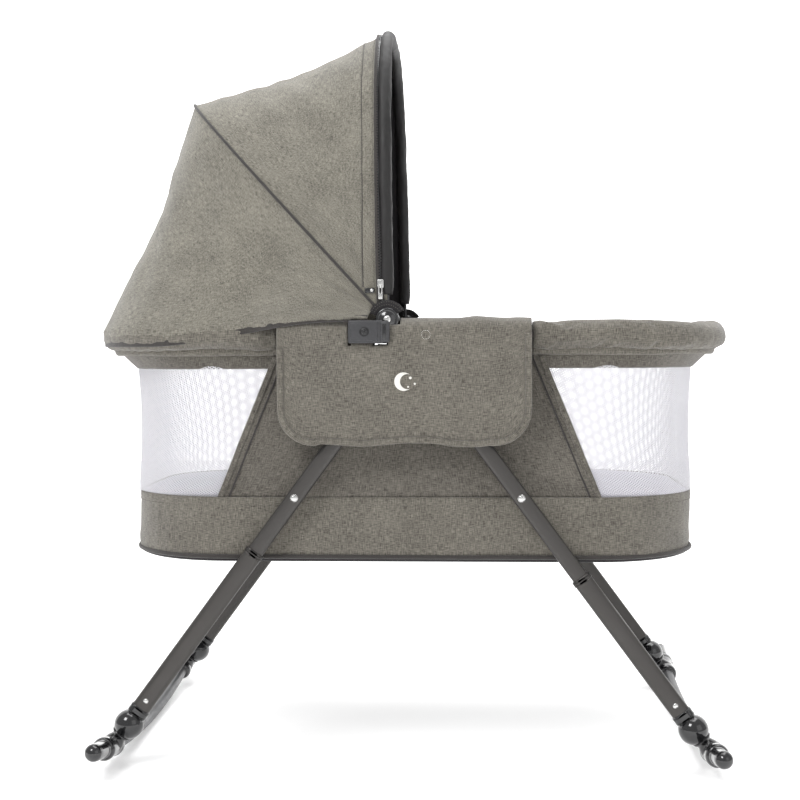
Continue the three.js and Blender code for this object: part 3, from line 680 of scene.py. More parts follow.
@dataclass(frozen=True)
class MeshNet:
    """Knitted mesh with round holes on a hexagonal grid."""

    name: str
    colour: tuple[float, float, float]
    pitch: float = 3.4 * MM
    hole: float = 0.36

    def _distance(self, g: Graph, place: Socket, shift: float) -> Socket:
        """The distance, in pitches, to the nearest hole of one of the two square grids of holes."""
        split = g.add("SeparateXYZ", {0: place})
        parts = []
        for index, stretch in ((0, 1.0), (1, math.sqrt(3.0))):
            cell = g.math("DIVIDE", split.outputs[index], self.pitch * stretch)
            moved = g.math("FRACT", g.math("ADD", cell, shift))
            parts.append(g.math("MULTIPLY", g.math("SUBTRACT", moved, 0.5), stretch))
        return g.math("SQRT", g.math("ADD", g.math("POWER", parts[0], 2.0), g.math("POWER", parts[1], 2.0)))

    def build(self) -> Material:
        """Builds the material: holes by alpha, yarns raised between them."""
        material, g, shader = start_material(self.name)
        place = g.add("UVMap").outputs[0]
        nearest = g.math("MINIMUM", self._distance(g, place, 0.0), self._distance(g, place, 0.5))
        solid = g.remap(nearest, self.hole - 0.06, self.hole + 0.06)
        fibre = g.noise(g.scaled(place, 900.0, 300.0, 1.0), 1.0, 2.0)
        shade = g.remap(fibre, 0.2, 0.8, 0.86, 1.0)
        dark = tuple(0.82 * c for c in self.colour)
        tone = g.blend(shade, rgba(dark), rgba(self.colour))
        g.feed(shader, {"Base Color": tone, "Alpha": solid, "Roughness": 0.8})
        g.feed(shader, {"Sheen Weight": 0.2, "Specular IOR Level": 0.25})
        feed_bump(g, shader, g.remap(nearest, self.hole, 0.62), 0.4, 0.4 * MM)
        return material


@dataclass(frozen=True)
class PaintedMetal:
    """Powder-coated or plated tube with rubbed edges."""

    name: str
    colour: tuple[float, float, float]
    worn: tuple[float, float, float]
    roughness: float
    metallic: float
    grain: float = 1400.0
    bump: float = 0.12
    coat: float = 0.0

    def build(self, groups: ShaderGroups) -> Material:
        """Builds the material from the shared groups."""
        material, g, shader = start_material(self.name)
        grain = use_group(g, groups.grain, Scale=self.grain)
        wear = use_group(g, groups.wear, Amount=0.5, Scale=220.0)
        tone = g.blend(wear.outputs[0], rgba(self.colour), rgba(self.worn))
        rough = g.remap(grain.outputs["Smudge"], 0.3, 0.7, self.roughness - 0.06, self.roughness + 0.07)
        g.feed(shader, {"Base Color": tone, "Roughness": rough, "Metallic": self.metallic})
        g.feed(shader, {"Coat Weight": self.coat, "Coat Roughness": 0.18})
        feed_bump(g, shader, grain.outputs["Height"], self.bump, 0.25 * MM)
        return material


@dataclass(frozen=True)
class Moulding:
    """Moulded plastic: glossy or finely textured."""

    name: str
    colour: tuple[float, float, float]
    roughness: float
    grain: float
    bump: float
    coat: float = 0.0

    def build(self, groups: ShaderGroups) -> Material:
        """Builds the material from the shared groups."""
        material, g, shader = start_material(self.name)
        grain = use_group(g, groups.grain, Scale=self.grain)
        wear = use_group(g, groups.wear, Amount=0.35, Scale=300.0)
        rubbed = tuple(min(1.0, 2.2 * c + 0.02) for c in self.colour)
        tone = g.blend(wear.outputs[0], rgba(self.colour), rgba(rubbed))
        rough = g.remap(grain.outputs["Smudge"], 0.3, 0.7, self.roughness - 0.04, self.roughness + 0.08)
        g.feed(shader, {"Base Color": tone, "Roughness": rough})
        g.feed(shader, {"Coat Weight": self.coat, "Coat Roughness": 0.06})
        feed_bump(g, shader, grain.outputs["Height"], self.bump, 0.2 * MM)
        return material


@dataclass(frozen=True)
class QuiltedCover:
    """A pale brushed cover with sewn diamonds, placed by where the cloth lies."""

    name: str
    colour: tuple[float, float, float]
    # The darker colour that paints shade into the quilt's sewn valleys.
    shade: tuple[float, float, float]
    diamond: float = 55.0 * MM

    def build(self) -> Material:
        """Builds the material: a shallow diamond quilt, painted shade in the valleys along its sewn lines,
        and fine fibre.
        """
        material, g, shader = start_material(self.name)
        place = g.add("TexCoord").outputs["Object"]
        split = g.add("SeparateXYZ", {0: place})
        lines = []
        for operation in ("ADD", "SUBTRACT"):
            slant = g.math(operation, split.outputs[0], split.outputs[1])
            wave = g.math("SINE", g.math("MULTIPLY", slant, math.pi / self.diamond))
            lines.append(g.math("ABSOLUTE", wave))
        quilt = g.math("MINIMUM", lines[0], lines[1])
        puff = g.remap(quilt, 0.0, 0.45)
        fibre = g.noise(place, 700.0, 3.0)
        tone = g.math("MULTIPLY", puff, g.remap(fibre, 0.2, 0.8, 0.9, 1.0))
        # Painted shade: the valleys along the sewn lines blend towards the darker colour, with a small fibre
        # variation.
        colour = g.blend(tone, rgba(self.shade), rgba(self.colour))
        g.feed(shader, {"Base Color": colour, "Roughness": 0.92, "Sheen Weight": 0.3})
        height = g.math("ADD", g.math("MULTIPLY", puff, 3.0), g.math("MULTIPLY", fibre, 0.3))
        feed_bump(g, shader, height, 0.5, 1.2 * MM)
        return material


class Finishes:
    """Every finish of the bassinet, built once."""

    def __init__(self) -> None:
        """Builds the shared groups and then the materials."""
        groups = ShaderGroups()
        self.heather = WovenCloth(
            "heather_cloth", (0.225, 0.209, 0.176), (0.042, 0.037, 0.031), contrast=3.4
        ).build(groups)
        self.heather_pale = WovenCloth(
            "heather_cloth_canopy", (0.29, 0.274, 0.228), (0.058, 0.053, 0.044), contrast=3.8
        ).build(groups)
        # Painted shade: a darker copy of the tub's heather cloth for the side panels under the flaps, the
        # rim hem under the roll and the windows' outer bindings.
        self.heather_dark = WovenCloth(
            "heather_cloth_shaded", (0.185, 0.17, 0.145), (0.033, 0.029, 0.025), contrast=3.4
        ).build(groups)
        self.piping = WovenCloth(
            "charcoal_binding", (0.062, 0.056, 0.053), (0.02, 0.018, 0.017), 1.6, 0.7 * MM
        ).build(groups)
        self.black_cloth = WovenCloth(
            "black_lining", (0.03, 0.028, 0.029), (0.012, 0.011, 0.012), 1.4, 0.6 * MM, sheen=0.12
        ).build(groups)
        self.gloss_cloth = Moulding(
            "waxed_black_cloth", (0.007, 0.0062, 0.0062), 0.55, 900.0, 0.4
        ).build(groups)
        self.lining = WovenCloth(
            "white_lining", (0.60, 0.585, 0.65), (0.50, 0.485, 0.55), 1.2, 0.5 * MM, bump=0.25
        ).build(groups)
        self.thread = WovenCloth(
            "grey_thread", (0.14, 0.13, 0.11), (0.06, 0.055, 0.047), 1.2, 0.4 * MM
        ).build(groups)
        self.pale_thread = WovenCloth(
            "ivory_thread", (0.86, 0.85, 0.80), (0.72, 0.70, 0.65), 1.2, 0.5 * MM
        ).build(groups)
        self.net = MeshNet("white_mesh", (0.72, 0.712, 0.752)).build()
        self.leg_paint = PaintedMetal(
            "gunmetal_paint", (0.062, 0.058, 0.055), (0.22, 0.21, 0.2), 0.36, 0.55
        ).build(groups)
        self.rail_tube = PaintedMetal(
            "dark_tube", (0.10, 0.10, 0.103), (0.3, 0.3, 0.3), 0.4, 0.6
        ).build(groups)
        self.wire = PaintedMetal(
            "coated_wire", (0.045, 0.045, 0.047), (0.2, 0.2, 0.2), 0.4, 0.4
        ).build(groups)
        self.steel = PaintedMetal(
            "plated_steel", (0.62, 0.62, 0.61), (0.8, 0.8, 0.8), 0.22, 1.0, grain=500.0, bump=0.05
        ).build(groups)
        self.gloss_black = Moulding(
            "glossy_black", (0.007, 0.007, 0.008), 0.12, 900.0, 0.03, coat=0.6
        ).build(groups)
        self.grey_plastic = Moulding(
            "textured_grey", (0.035, 0.035, 0.038), 0.5, 2600.0, 0.35
        ).build(groups)
        self.dark_plastic = Moulding(
            "textured_black", (0.012, 0.012, 0.013), 0.42, 2600.0, 0.25
        ).build(groups)
        self.quilt = QuiltedCover("quilted_cover", (0.62, 0.60, 0.67), (0.50, 0.48, 0.56)).build()


def dress(piece: Piece, finish: Material) -> Piece:
    """Gives a piece its finish.

    Args:
        piece: The piece.
        finish: Its material.

    Returns:
        The piece.
    """
    piece.data.materials.clear()
    piece.data.materials.append(finish)
    return piece


# ---------------------------------------------------------------- sizes from the frame


@dataclass(frozen=True)
class FrameSizes:
    """Places and sizes that the pieces share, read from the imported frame."""

    hinge: Vector
    knuckle: Vector
    leg_pivot: Vector
    rim_pivot: Vector
    rim_end: float
    rim_half_width: float
    pad_low: float
    pad_high: float
    band_low: Vector
    band_high: Vector
    wall_high: Vector
    mattress_low: Vector
    mattress_high: Vector
    flap_low: Vector
    flap_high: Vector

    @classmethod
    def read(cls, frame: dict) -> "FrameSizes":
        """Reads the joints' pivots and the nodes' boxes.


        Returns:
            The sizes.
        """
        pivot = {joint["name"]: Vector(joint["pos_m"]) for joint in frame["joints"] if "pos_m" in joint}
        ball_low, ball_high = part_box("knuckle_foot_right")
        pad_low, pad_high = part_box("rim_pad_foot")
        return cls(
            hinge=pivot["canopy_fold"],
            knuckle=(ball_low + ball_high) / 2,
            leg_pivot=pivot["foot_leg_fold"],
            rim_pivot=pivot["foot_rim_fold"],
            rim_end=pad_high.x,
            rim_half_width=pad_high.y,
            pad_low=pad_low.z,
            pad_high=pad_high.z,
            band_low=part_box("base_band")[0],
            band_high=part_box("base_band")[1],
            wall_high=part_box("mesh_end_foot")[1],
            mattress_low=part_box("mattress")[0],
            mattress_high=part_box("mattress")[1],
            flap_low=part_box("rim_flap_right")[0],
            flap_high=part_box("rim_flap_right")[1],
        )


@dataclass(frozen=True)
class PlanOutline:
    """A rounded rectangle in plan that the rim and the tub follow."""

    half_length: float
    half_width: float
    corner: float

    def ends_at(
        self, end: End, start_x: float, height: float, count: int, outset: float = 0.0
    ) -> list[Vector]:
        """Points of the U round one end, from the left side to the right.

        Args:
            end: Which end it goes round.
            start_x: How far from the middle the U starts and stops.
            height: The height of the points.
            count: How many steps it has.
            outset: How far outside the outline it runs.

        Returns:
            count + 1 evenly spaced points.
        """
        corner = self.corner + outset
        centre_x, centre_y = self.half_length - self.corner, self.half_width - self.corner
        points = [Vector((end.value * start_x, -(self.half_width + outset), height))]
        for sign in (-1, 1):
            for i in range(25):
                turn = math.pi / 2 * (i / 24 if sign > 0 else 1 - i / 24)
                x = end.value * (centre_x + corner * math.cos(turn))
                points.append(Vector((x, sign * (centre_y + corner * math.sin(turn)), height)))
        points.append(Vector((end.value * start_x, self.half_width + outset, height)))
        return resample(points, count)

    def station(self, point: Vector) -> tuple[float, float]:
        """Where a point lies along the outline, from the middle of its end, and how far outside it.

        Args:
            point: The point.

        Returns:
            The signed distance along the outline, and the distance outside it.
        """
        centre_x, centre_y = self.half_length - self.corner, self.half_width - self.corner
        x, y = abs(point.x), abs(point.y)
        if x <= centre_x:
            along, out = centre_y + self.corner * math.pi / 2 + centre_x - x, y - self.half_width
        elif y <= centre_y:
            along, out = y, x - self.half_length
        else:
            turn = math.atan2(y - centre_y, x - centre_x)
            along, out = centre_y + self.corner * turn, math.hypot(x - centre_x, y - centre_y) - self.corner
        return math.copysign(along, point.y), out


def outward(path: Sequence[Vector], index: int, sign: int) -> Vector:
    """The level direction out of a plan path at one of its points.

    Args:
        path: The path.
        index: Which point.
        sign: 1 where the path runs anticlockwise from above, else -1.

    Returns:
        A unit vector.
    """
    before, after = path[max(0, index - 1)], path[min(len(path) - 1, index + 1)]
    tangent = after - before
    return sign * Vector((tangent.y, -tangent.x, 0)).normalized()


def ribbon(
    name: str, path: Sequence[Vector], normals: Sequence[Vector], width: float, depth: float
) -> Piece:
    """A flat sewn tape or binding that lies on a surface.

    Args:
        name: The piece's name.
        path: The tape's middle line.
        normals: The surface's outward direction at each point.
        width: The tape's width.
        depth: The tape's thickness.

    Returns:
        The new piece.
    """
    upper = [(-0.5, 0.0), (-0.46, 0.75), (-0.3, 1.0), (0.0, 0.9), (0.3, 1.0), (0.46, 0.75), (0.5, 0.0)]
    section = upper + [(0.0, -0.3)]
    rows = []
    for i, (point, normal) in enumerate(zip(path, normals)):
        before, after = path[max(0, i - 1)], path[min(len(path) - 1, i + 1)]
        side = (after - before).cross(normal).normalized()
        rows.append([point + side * (a * width) + normal * (b * depth) for a, b in section])
    return skin(name, rows, close_columns=True, caps=True)


class Rig:
    """The frame's sizes and the finishes, with short ways to place pieces on the bodies."""

    def __init__(self, sizes: FrameSizes, finishes: Finishes) -> None:
        """Keeps what every sub-assembly needs."""
        self.sizes = sizes
        self.finish = finishes

    def mount(
        self,
        piece: Piece,
        body: str,
        finish: Material,
        slot: Slot,
        stands_for: Iterable[str] = (),
    ) -> Piece:
        """Dresses a piece and lets it ride on a body.

        Args:
            piece: The piece.
            body: The CAD body that it moves with.
            finish: Its material.
            slot: The record's material slot; not used.
            stands_for: The CAD nodes that it replaces.

        Returns:
            The piece.
        """
        dress(piece, finish)
        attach(piece, body)
        if stands_for:
            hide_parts(*stands_for)
        LOG.info("%s rides on %s with %d faces", piece.name, body, len(piece.data.polygons))
        return piece

    def tub_cloth(
        self,
        piece: Piece,
        finish: Material,
        slot: Slot,
        stands_for: Iterable[str] = (),
        keep: float = 0.26,
    ) -> Piece:
        """Mounts a piece on the tub and gives it its own mesh, as mount and crumple do."""
        self.mount(piece, "tub", finish, slot, stands_for)
        self.crumple(piece, keep)
        return piece

    def crumple(self, piece: Piece, keep: float = 0.26) -> None:
        """Gives a cloth piece of the tub its own copy of its mesh."""
        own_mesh(piece)


@dataclass
class Stand:
    """The two pairs of telescoping legs with their knuckles, and the rockers under them."""

    rig: Rig
    leg_width: float = 22.5 * MM
    leg_depth: float = 12.0 * MM
    sleeve_wall: float = 1.75 * MM
    knuckle_radius: float = 20.5 * MM
    rocker_radius: float = 10.0 * MM
    rocker_curve: float = 1.712
    collar_radius: float = 16.0 * MM
    stem_radius: float = 10.5 * MM
    split_heights: dict[End, float] = field(default_factory=lambda: {End.HEAD: 0.2975, End.FOOT: 0.2635})

    def build(self) -> None:
        """Builds every piece of the stand."""
        for end in End:
            for side in Side:
                self._leg(end, side)
                self._knuckle(end, side)
                self._collar(end, side)
                self._cap(end, side)
            self._rail(end)

    def _pivot(self, end: End, side: Side) -> Vector:
        """The leg's pivot on one side."""
        pivot = self.rig.sizes.leg_pivot
        return Vector((end.value * pivot.x, side.value * self._plane(), pivot.z))

    def _plane(self) -> float:
        """How far the legs' middle plane is from the centre."""
        low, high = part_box("upper_leg_foot_right")
        return (low.y + high.y) / 2

    def _knuckle_centre(self, end: End, side: Side) -> Vector:
        """The middle of a ball knuckle."""
        place = self.rig.sizes.knuckle
        return Vector((end.value * place.x, side.value * place.y, place.z))

    def _oval(self, name: str, start: Vector, stop: Vector, width: float, depth: float) -> Piece:
        """An oval tube with softened ends between two points, its flats facing sideways."""
        length = (stop - start).length
        soft = 1.2 * MM
        stops = [0.0, soft / length, 3 * soft / length]
        shares = stops + [i / 12 for i in range(1, 12)] + [1 - s for s in reversed(stops)]
        path = [start.lerp(stop, share) for share in shares]
        ends = {0: 0.9, len(path) - 1: 0.9}
        section = stadium(width, depth)
        axes = frames_along(path, Vector((0, 1, 0)))
        rows = []
        for i, (point, (first, second)) in enumerate(zip(path, axes)):
            size = ends.get(i, 1.0)
            rows.append([point + size * (a * first + b * second) for a, b in section])
        return skin(name, rows, close_columns=True, caps=True)

    def _rivet(self, name: str, place: Vector, side: Side, radius: float, body: str) -> None:
        """A domed rivet head with a pressed ring on a leg's outer flat."""
        step = radius / 4.2
        profile = [
            (radius * 1.18, 0.0),
            (radius * 1.15, 0.25 * step),
            (radius, 0.5 * step),
            (radius * 0.96, 1.1 * step),
            (radius * 0.72, 1.7 * step),
            (radius * 0.4, 1.95 * step),
            (0.0, 2.0 * step),
        ]
        piece = lathe(name, profile, place, Vector((0, side.value, 0)), 28)
        self.rig.mount(piece, body, self.rig.finish.steel, Slot.STEEL)

    def _leg(self, end: End, side: Side) -> None:
        """An upper tube, its sleeve, the sleeve's lip and the two fasteners."""
        body, label = f"{end.label}_legs", f"{end.label}_{side.label}"
        pivot, ball = self._pivot(end, side), self._knuckle_centre(end, side)
        along = (ball - pivot).normalized()
        split = pivot + along * ((pivot.z - self.split_heights[end]) / -along.z)
        finish = self.rig.finish.leg_paint
        top, tucked = pivot - along * 0.011, split + along * 0.03
        upper = self._oval(f"upper_leg_tube_{label}", top, tucked, self.leg_width, self.leg_depth)
        self.rig.mount(upper, body, finish, Slot.LEG_PAINT, [f"upper_leg_{label}"])
        wide, deep = self.leg_width + 2 * self.sleeve_wall, self.leg_depth + 2 * self.sleeve_wall
        lower = self._oval(f"lower_leg_tube_{label}", split, ball - along * 0.012, wide, deep)
        self.rig.mount(lower, body, finish, Slot.LEG_PAINT, [f"lower_leg_{label}"])
        lip_low, lip_high = split - along * 0.0015, split + along * 0.007
        lip = self._oval(f"sleeve_lip_{label}", lip_low, lip_high, wide + 1.6 * MM, deep + 1.6 * MM)
        self.rig.mount(lip, body, finish, Slot.LEG_PAINT)
        face = side.value * self.leg_depth / 2
        rivet_height, screw_height = 0.372, 0.092
        rivet = pivot + along * ((pivot.z - rivet_height) / -along.z)
        self._rivet(f"leg_rivet_{label}", rivet + Vector((0, face, 0)), side, 4.6 * MM, body)
        screw = pivot + along * ((pivot.z - screw_height) / -along.z)
        outer = side.value * deep / 2
        self._rivet(f"leg_screw_{label}", screw + Vector((0, outer, 0)), side, 3.2 * MM, body)

    def _knuckle(self, end: End, side: Side) -> None:
        """A glossy ball with a parting groove round it, and a neck where the leg goes in."""
        radius, count = self.knuckle_radius, 40
        profile = []
        for i in range(count + 1):
            turn = math.pi * i / count
            groove = 0.9 * MM * bump(0.0, 1.1 * MM, radius * math.cos(turn))
            size = radius - groove
            profile.append((size * math.sin(turn), -size * math.cos(turn)))
        label, body = f"{end.label}_{side.label}", f"{end.label}_legs"
        finish = self.rig.finish.gloss_black
        centre = self._knuckle_centre(end, side)
        ball = lathe(f"ball_knuckle_{label}", profile, centre, Vector((0, side.value, 0)), 44)
        self.rig.mount(ball, body, finish, Slot.BLACK_PLASTIC, [f"knuckle_{label}"])
        up = (self._pivot(end, side) - centre).normalized()
        neck_low = centre + up * radius * 0.8
        wide, deep = self.leg_width + 6.5 * MM, self.leg_depth + 6.5 * MM
        neck = self._oval(f"knuckle_neck_{label}", neck_low, neck_low + up * 0.013, wide, deep)
        self.rig.mount(neck, body, finish, Slot.BLACK_PLASTIC)

    def _rocker_point(self, end: End, y: float) -> Vector:
        """A point on the rocker's middle line."""
        low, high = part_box("rocker_rail_foot")
        rise = y * y / (2 * self.rocker_curve)
        return Vector((end.value * (low.x + high.x) / 2, y, self.rocker_radius + rise))

    def _rocker_run(
        self, end: End, side: Side, start: float, stop: float, steps: int
    ) -> list[Vector]:
        """Points along the rocker between two distances from its middle."""
        reaches = [start + (stop - start) * i / steps for i in range(steps + 1)]
        return [self._rocker_point(end, side.value * reach) for reach in reaches]

    def _rail(self, end: End) -> None:
        """The curved rail itself."""
        reach = 0.33
        path = [self._rocker_point(end, -reach + 2 * reach * i / 80) for i in range(81)]
        rail = sweep(f"rocker_tube_{end.label}", path, circle(self.rocker_radius, 28))
        body = f"{end.label}_rocker"
        self.rig.mount(rail, body, self.rig.finish.rail_tube, Slot.RAIL_TUBE, [f"rocker_rail_{end.label}"])

    def _collar(self, end: End, side: Side) -> None:
        """A moulded clamp round the rail with raised hoops, its stem up to the ball, and two screws."""
        label, body = f"{end.label}_{side.label}", f"{end.label}_rocker"
        low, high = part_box(f"collar_{end.label}_{side.label}")
        start, stop = sorted((abs(low.y), abs(high.y)))
        path = self._rocker_run(end, side, start + 1 * MM, stop - 1 * MM, 40)
        shape = [(0.0, 0.76), (0.03, 0.9), (0.08, 1.0), (0.2, 1.0), (0.24, 0.93), (0.5, 0.9)]
        shape += [(0.76, 0.93), (0.8, 1.0), (0.92, 1.0), (0.97, 0.9), (1.0, 0.76)]

        def girth(share: float) -> float:
            """The collar's girth along its length."""
            for (a, low_size), (b, high_size) in zip(shape, shape[1:]):
                if share <= b:
                    return low_size + (high_size - low_size) * smoothstep(a, b, share)
            return shape[-1][1]

        bm = bmesh.new()
        add_sweep(bm, path, circle(self.collar_radius, 32), scale=girth)
        ball = self._knuckle_centre(end, side)
        foot = self._rocker_point(end, side.value * self._plane())
        along = (ball - foot).normalized()
        reach = (ball - foot).length
        top = reach - self.knuckle_radius + 1.5 * MM
        wide = self.stem_radius
        stem = [
            (wide * 1.45, 0.004),
            (wide * 1.25, 0.011),
            (wide * 1.02, 0.0165),
            (wide * 1.0, top * 0.9),
            (wide * 1.3, top + 1.0 * MM),
            (wide * 1.35, top + 3.0 * MM),
            (wide * 1.2, top + 3.5 * MM),
        ]
        add_lathe(bm, stem, foot, along, 32)
        fin_low = foot + Vector((end.value * -2 * MM, side.value * 6 * MM, 8 * MM))
        fin_step = Vector((end.value * -6 * MM, side.value * 16 * MM, 9 * MM))
        fin = [fin_low, fin_low + fin_step, ball * 0.3 + foot * 0.7]
        add_sweep(bm, resample(fin, 8), circle(4.2 * MM, 12))
        piece = new_object(f"rail_collar_{label}", bm)
        self.rig.mount(piece, body, self.rig.finish.gloss_black, Slot.BLACK_PLASTIC, [f"collar_{label}"])
        screw = [(3.3 * MM, 0), (3.2 * MM, 1.6 * MM), (2.2 * MM, 2.2 * MM), (0, 2.3 * MM)]
        for i, share in enumerate((0.34, 0.66)):
            middle = path[round(share * 40)]
            out = Vector((0, 0, 1)) * 0.35 + Vector((end.value, 0, 0))
            out.normalize()
            seat = middle + out * self.collar_radius * 0.86
            head = lathe(f"collar_screw_{i}_{label}", screw, seat, out, 20)
            self.rig.mount(head, body, self.rig.finish.steel, Slot.STEEL)

    def _cap(self, end: End, side: Side) -> None:
        """A long end cap with a ringed mouth and a blunt nose."""
        label, body = f"{end.label}_{side.label}", f"{end.label}_rocker"
        low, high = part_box(f"rail_cap_{end.label}_{side.label}")
        start, stop = sorted((abs(low.y), abs(high.y)))
        path = self._rocker_run(end, side, start + 1.5 * MM, stop - 0.6 * MM, 44)
        outer = 12.55 * MM

        def girth(share: float) -> float:
            """The cap's girth: a lip, a groove, a plain barrel and a rounded nose."""
            lip = 0.06 * bump(0.05, 0.05, share)
            groove = -0.07 * bump(0.14, 0.018, share) - 0.05 * bump(0.78, 0.015, share)
            nose = 1 - max(0.0, (share - 0.8) / 0.2) ** 2.6 * 0.72
            return (0.95 + lip + groove) * nose

        piece = sweep(f"rail_end_cap_{label}", path, circle(outer, 32), scale=girth)
        self.rig.mount(piece, body, self.rig.finish.gloss_black, Slot.BLACK_PLASTIC, [f"rail_cap_{label}"])


@dataclass
class Hubs:
    """The mouldings, axles and buttons where legs and rim rails meet; the CAD shapes stay."""

    rig: Rig

    def build(self) -> None:
        """Dresses the CAD nodes and softens their edges."""
        finish = self.rig.finish
        for side in Side:
            self._dress(f"hub_housing_{side.label}", finish.grey_plastic)
            self._dress(f"release_button_{side.label}", finish.gloss_black)
            for end in End:
                self._dress(f"leg_pin_{end.label}_{side.label}", finish.steel)
                self._dress(f"rail_pin_{end.label}_{side.label}", finish.steel)
        for end in End:
            self._dress(f"rim_rail_{end.label}", finish.rail_tube, bevel=False)

    def _dress(self, node: str, material: Material, bevel: bool = True) -> None:
        """Gives a CAD node a material, and a small bevel where it has sharp edges."""
        piece = frame["nodes"][node]
        dress(piece, material)
        if bevel:
            modifier = piece.modifiers.new("soft_edges", "BEVEL")
            modifier.width, modifier.segments, modifier.limit_method = 0.35 * MM, 2, "ANGLE"
        LOG.info("%s keeps its CAD shape", node)


def puff(
    piece: Piece,
    voxel: float,
    pressure: float,
    growth: float,
    cap: float,
    held: Callable[[Vector], bool],
) -> None:
    """Swells a closed piece by cloth simulation and keeps the result in its mesh.

    Args:
        piece: The piece, a closed mesh.
        voxel: The size that it is remeshed to.
        pressure: The filling's push.
        growth: How much larger the cloth is than the shape that it covers, which makes puckers.
        cap: The farthest that a point may move.
        held: Tells which points stay in place.
    """
    remesh = piece.modifiers.new("remesh", "REMESH")
    remesh.mode, remesh.voxel_size, remesh.use_smooth_shade = "VOXEL", voxel, True
    bake(piece)
    rest = [vertex.co.copy() for vertex in piece.data.vertices]
    group = piece.vertex_groups.new(name="held")
    group.add([i for i, point in enumerate(rest) if held(point)], 1.0, "ADD")
    cloth = piece.modifiers.new("cloth", "CLOTH")
    cloth.settings.vertex_group_mass = group.name
    cloth.settings.use_pressure = True
    cloth.settings.uniform_pressure_force = pressure
    cloth.settings.shrink_min = -growth
    cloth.settings.quality = 4
    cloth.settings.tension_stiffness = cloth.settings.compression_stiffness = 25
    cloth.settings.bending_stiffness = 0.6
    cloth.settings.effector_weights.gravity = 0
    cloth.collision_settings.use_collision = False
    cloth.point_cache.frame_start, cloth.point_cache.frame_end = 1, 20
    for number in range(1, 21):
        bpy.context.scene.frame_set(number)
    bake(piece)
    bpy.context.scene.frame_set(1)
    for vertex, start in zip(piece.data.vertices, rest):
        step = vertex.co - start
        if step.length > cap:
            vertex.co = start + step * (cap / step.length)


def bake(piece: Piece) -> None:
    """Replaces a piece's mesh with what its modifiers make of it, and removes them."""
    graph = bpy.context.evaluated_depsgraph_get()
    graph.update()
    made = bpy.data.meshes.new_from_object(piece.evaluated_get(graph))
    piece.modifiers.clear()
    piece.data = made
    for polygon in made.polygons:
        polygon.use_smooth = True


def wrap_uv(piece: Piece, place: Callable[[Vector], tuple[float, float]], period: float) -> None:
    """Writes a UV map in metres from a function of place.

    Args:
        piece: The piece.
        place: Gives a point's two distances on the cloth.
        period: After how much the second distance repeats, so that no face is smeared over the join.
    """
    layer = piece.data.uv_layers.new(name="UVMap")
    spots = [place(vertex.co) for vertex in piece.data.vertices]
    for polygon in piece.data.polygons:
        first = spots[piece.data.loops[polygon.loop_start].vertex_index]
        for loop in polygon.loop_indices:
            u, v = spots[piece.data.loops[loop].vertex_index]
            v -= period * round((v - first[1]) / period)
            layer.data[loop].uv = (u, v)


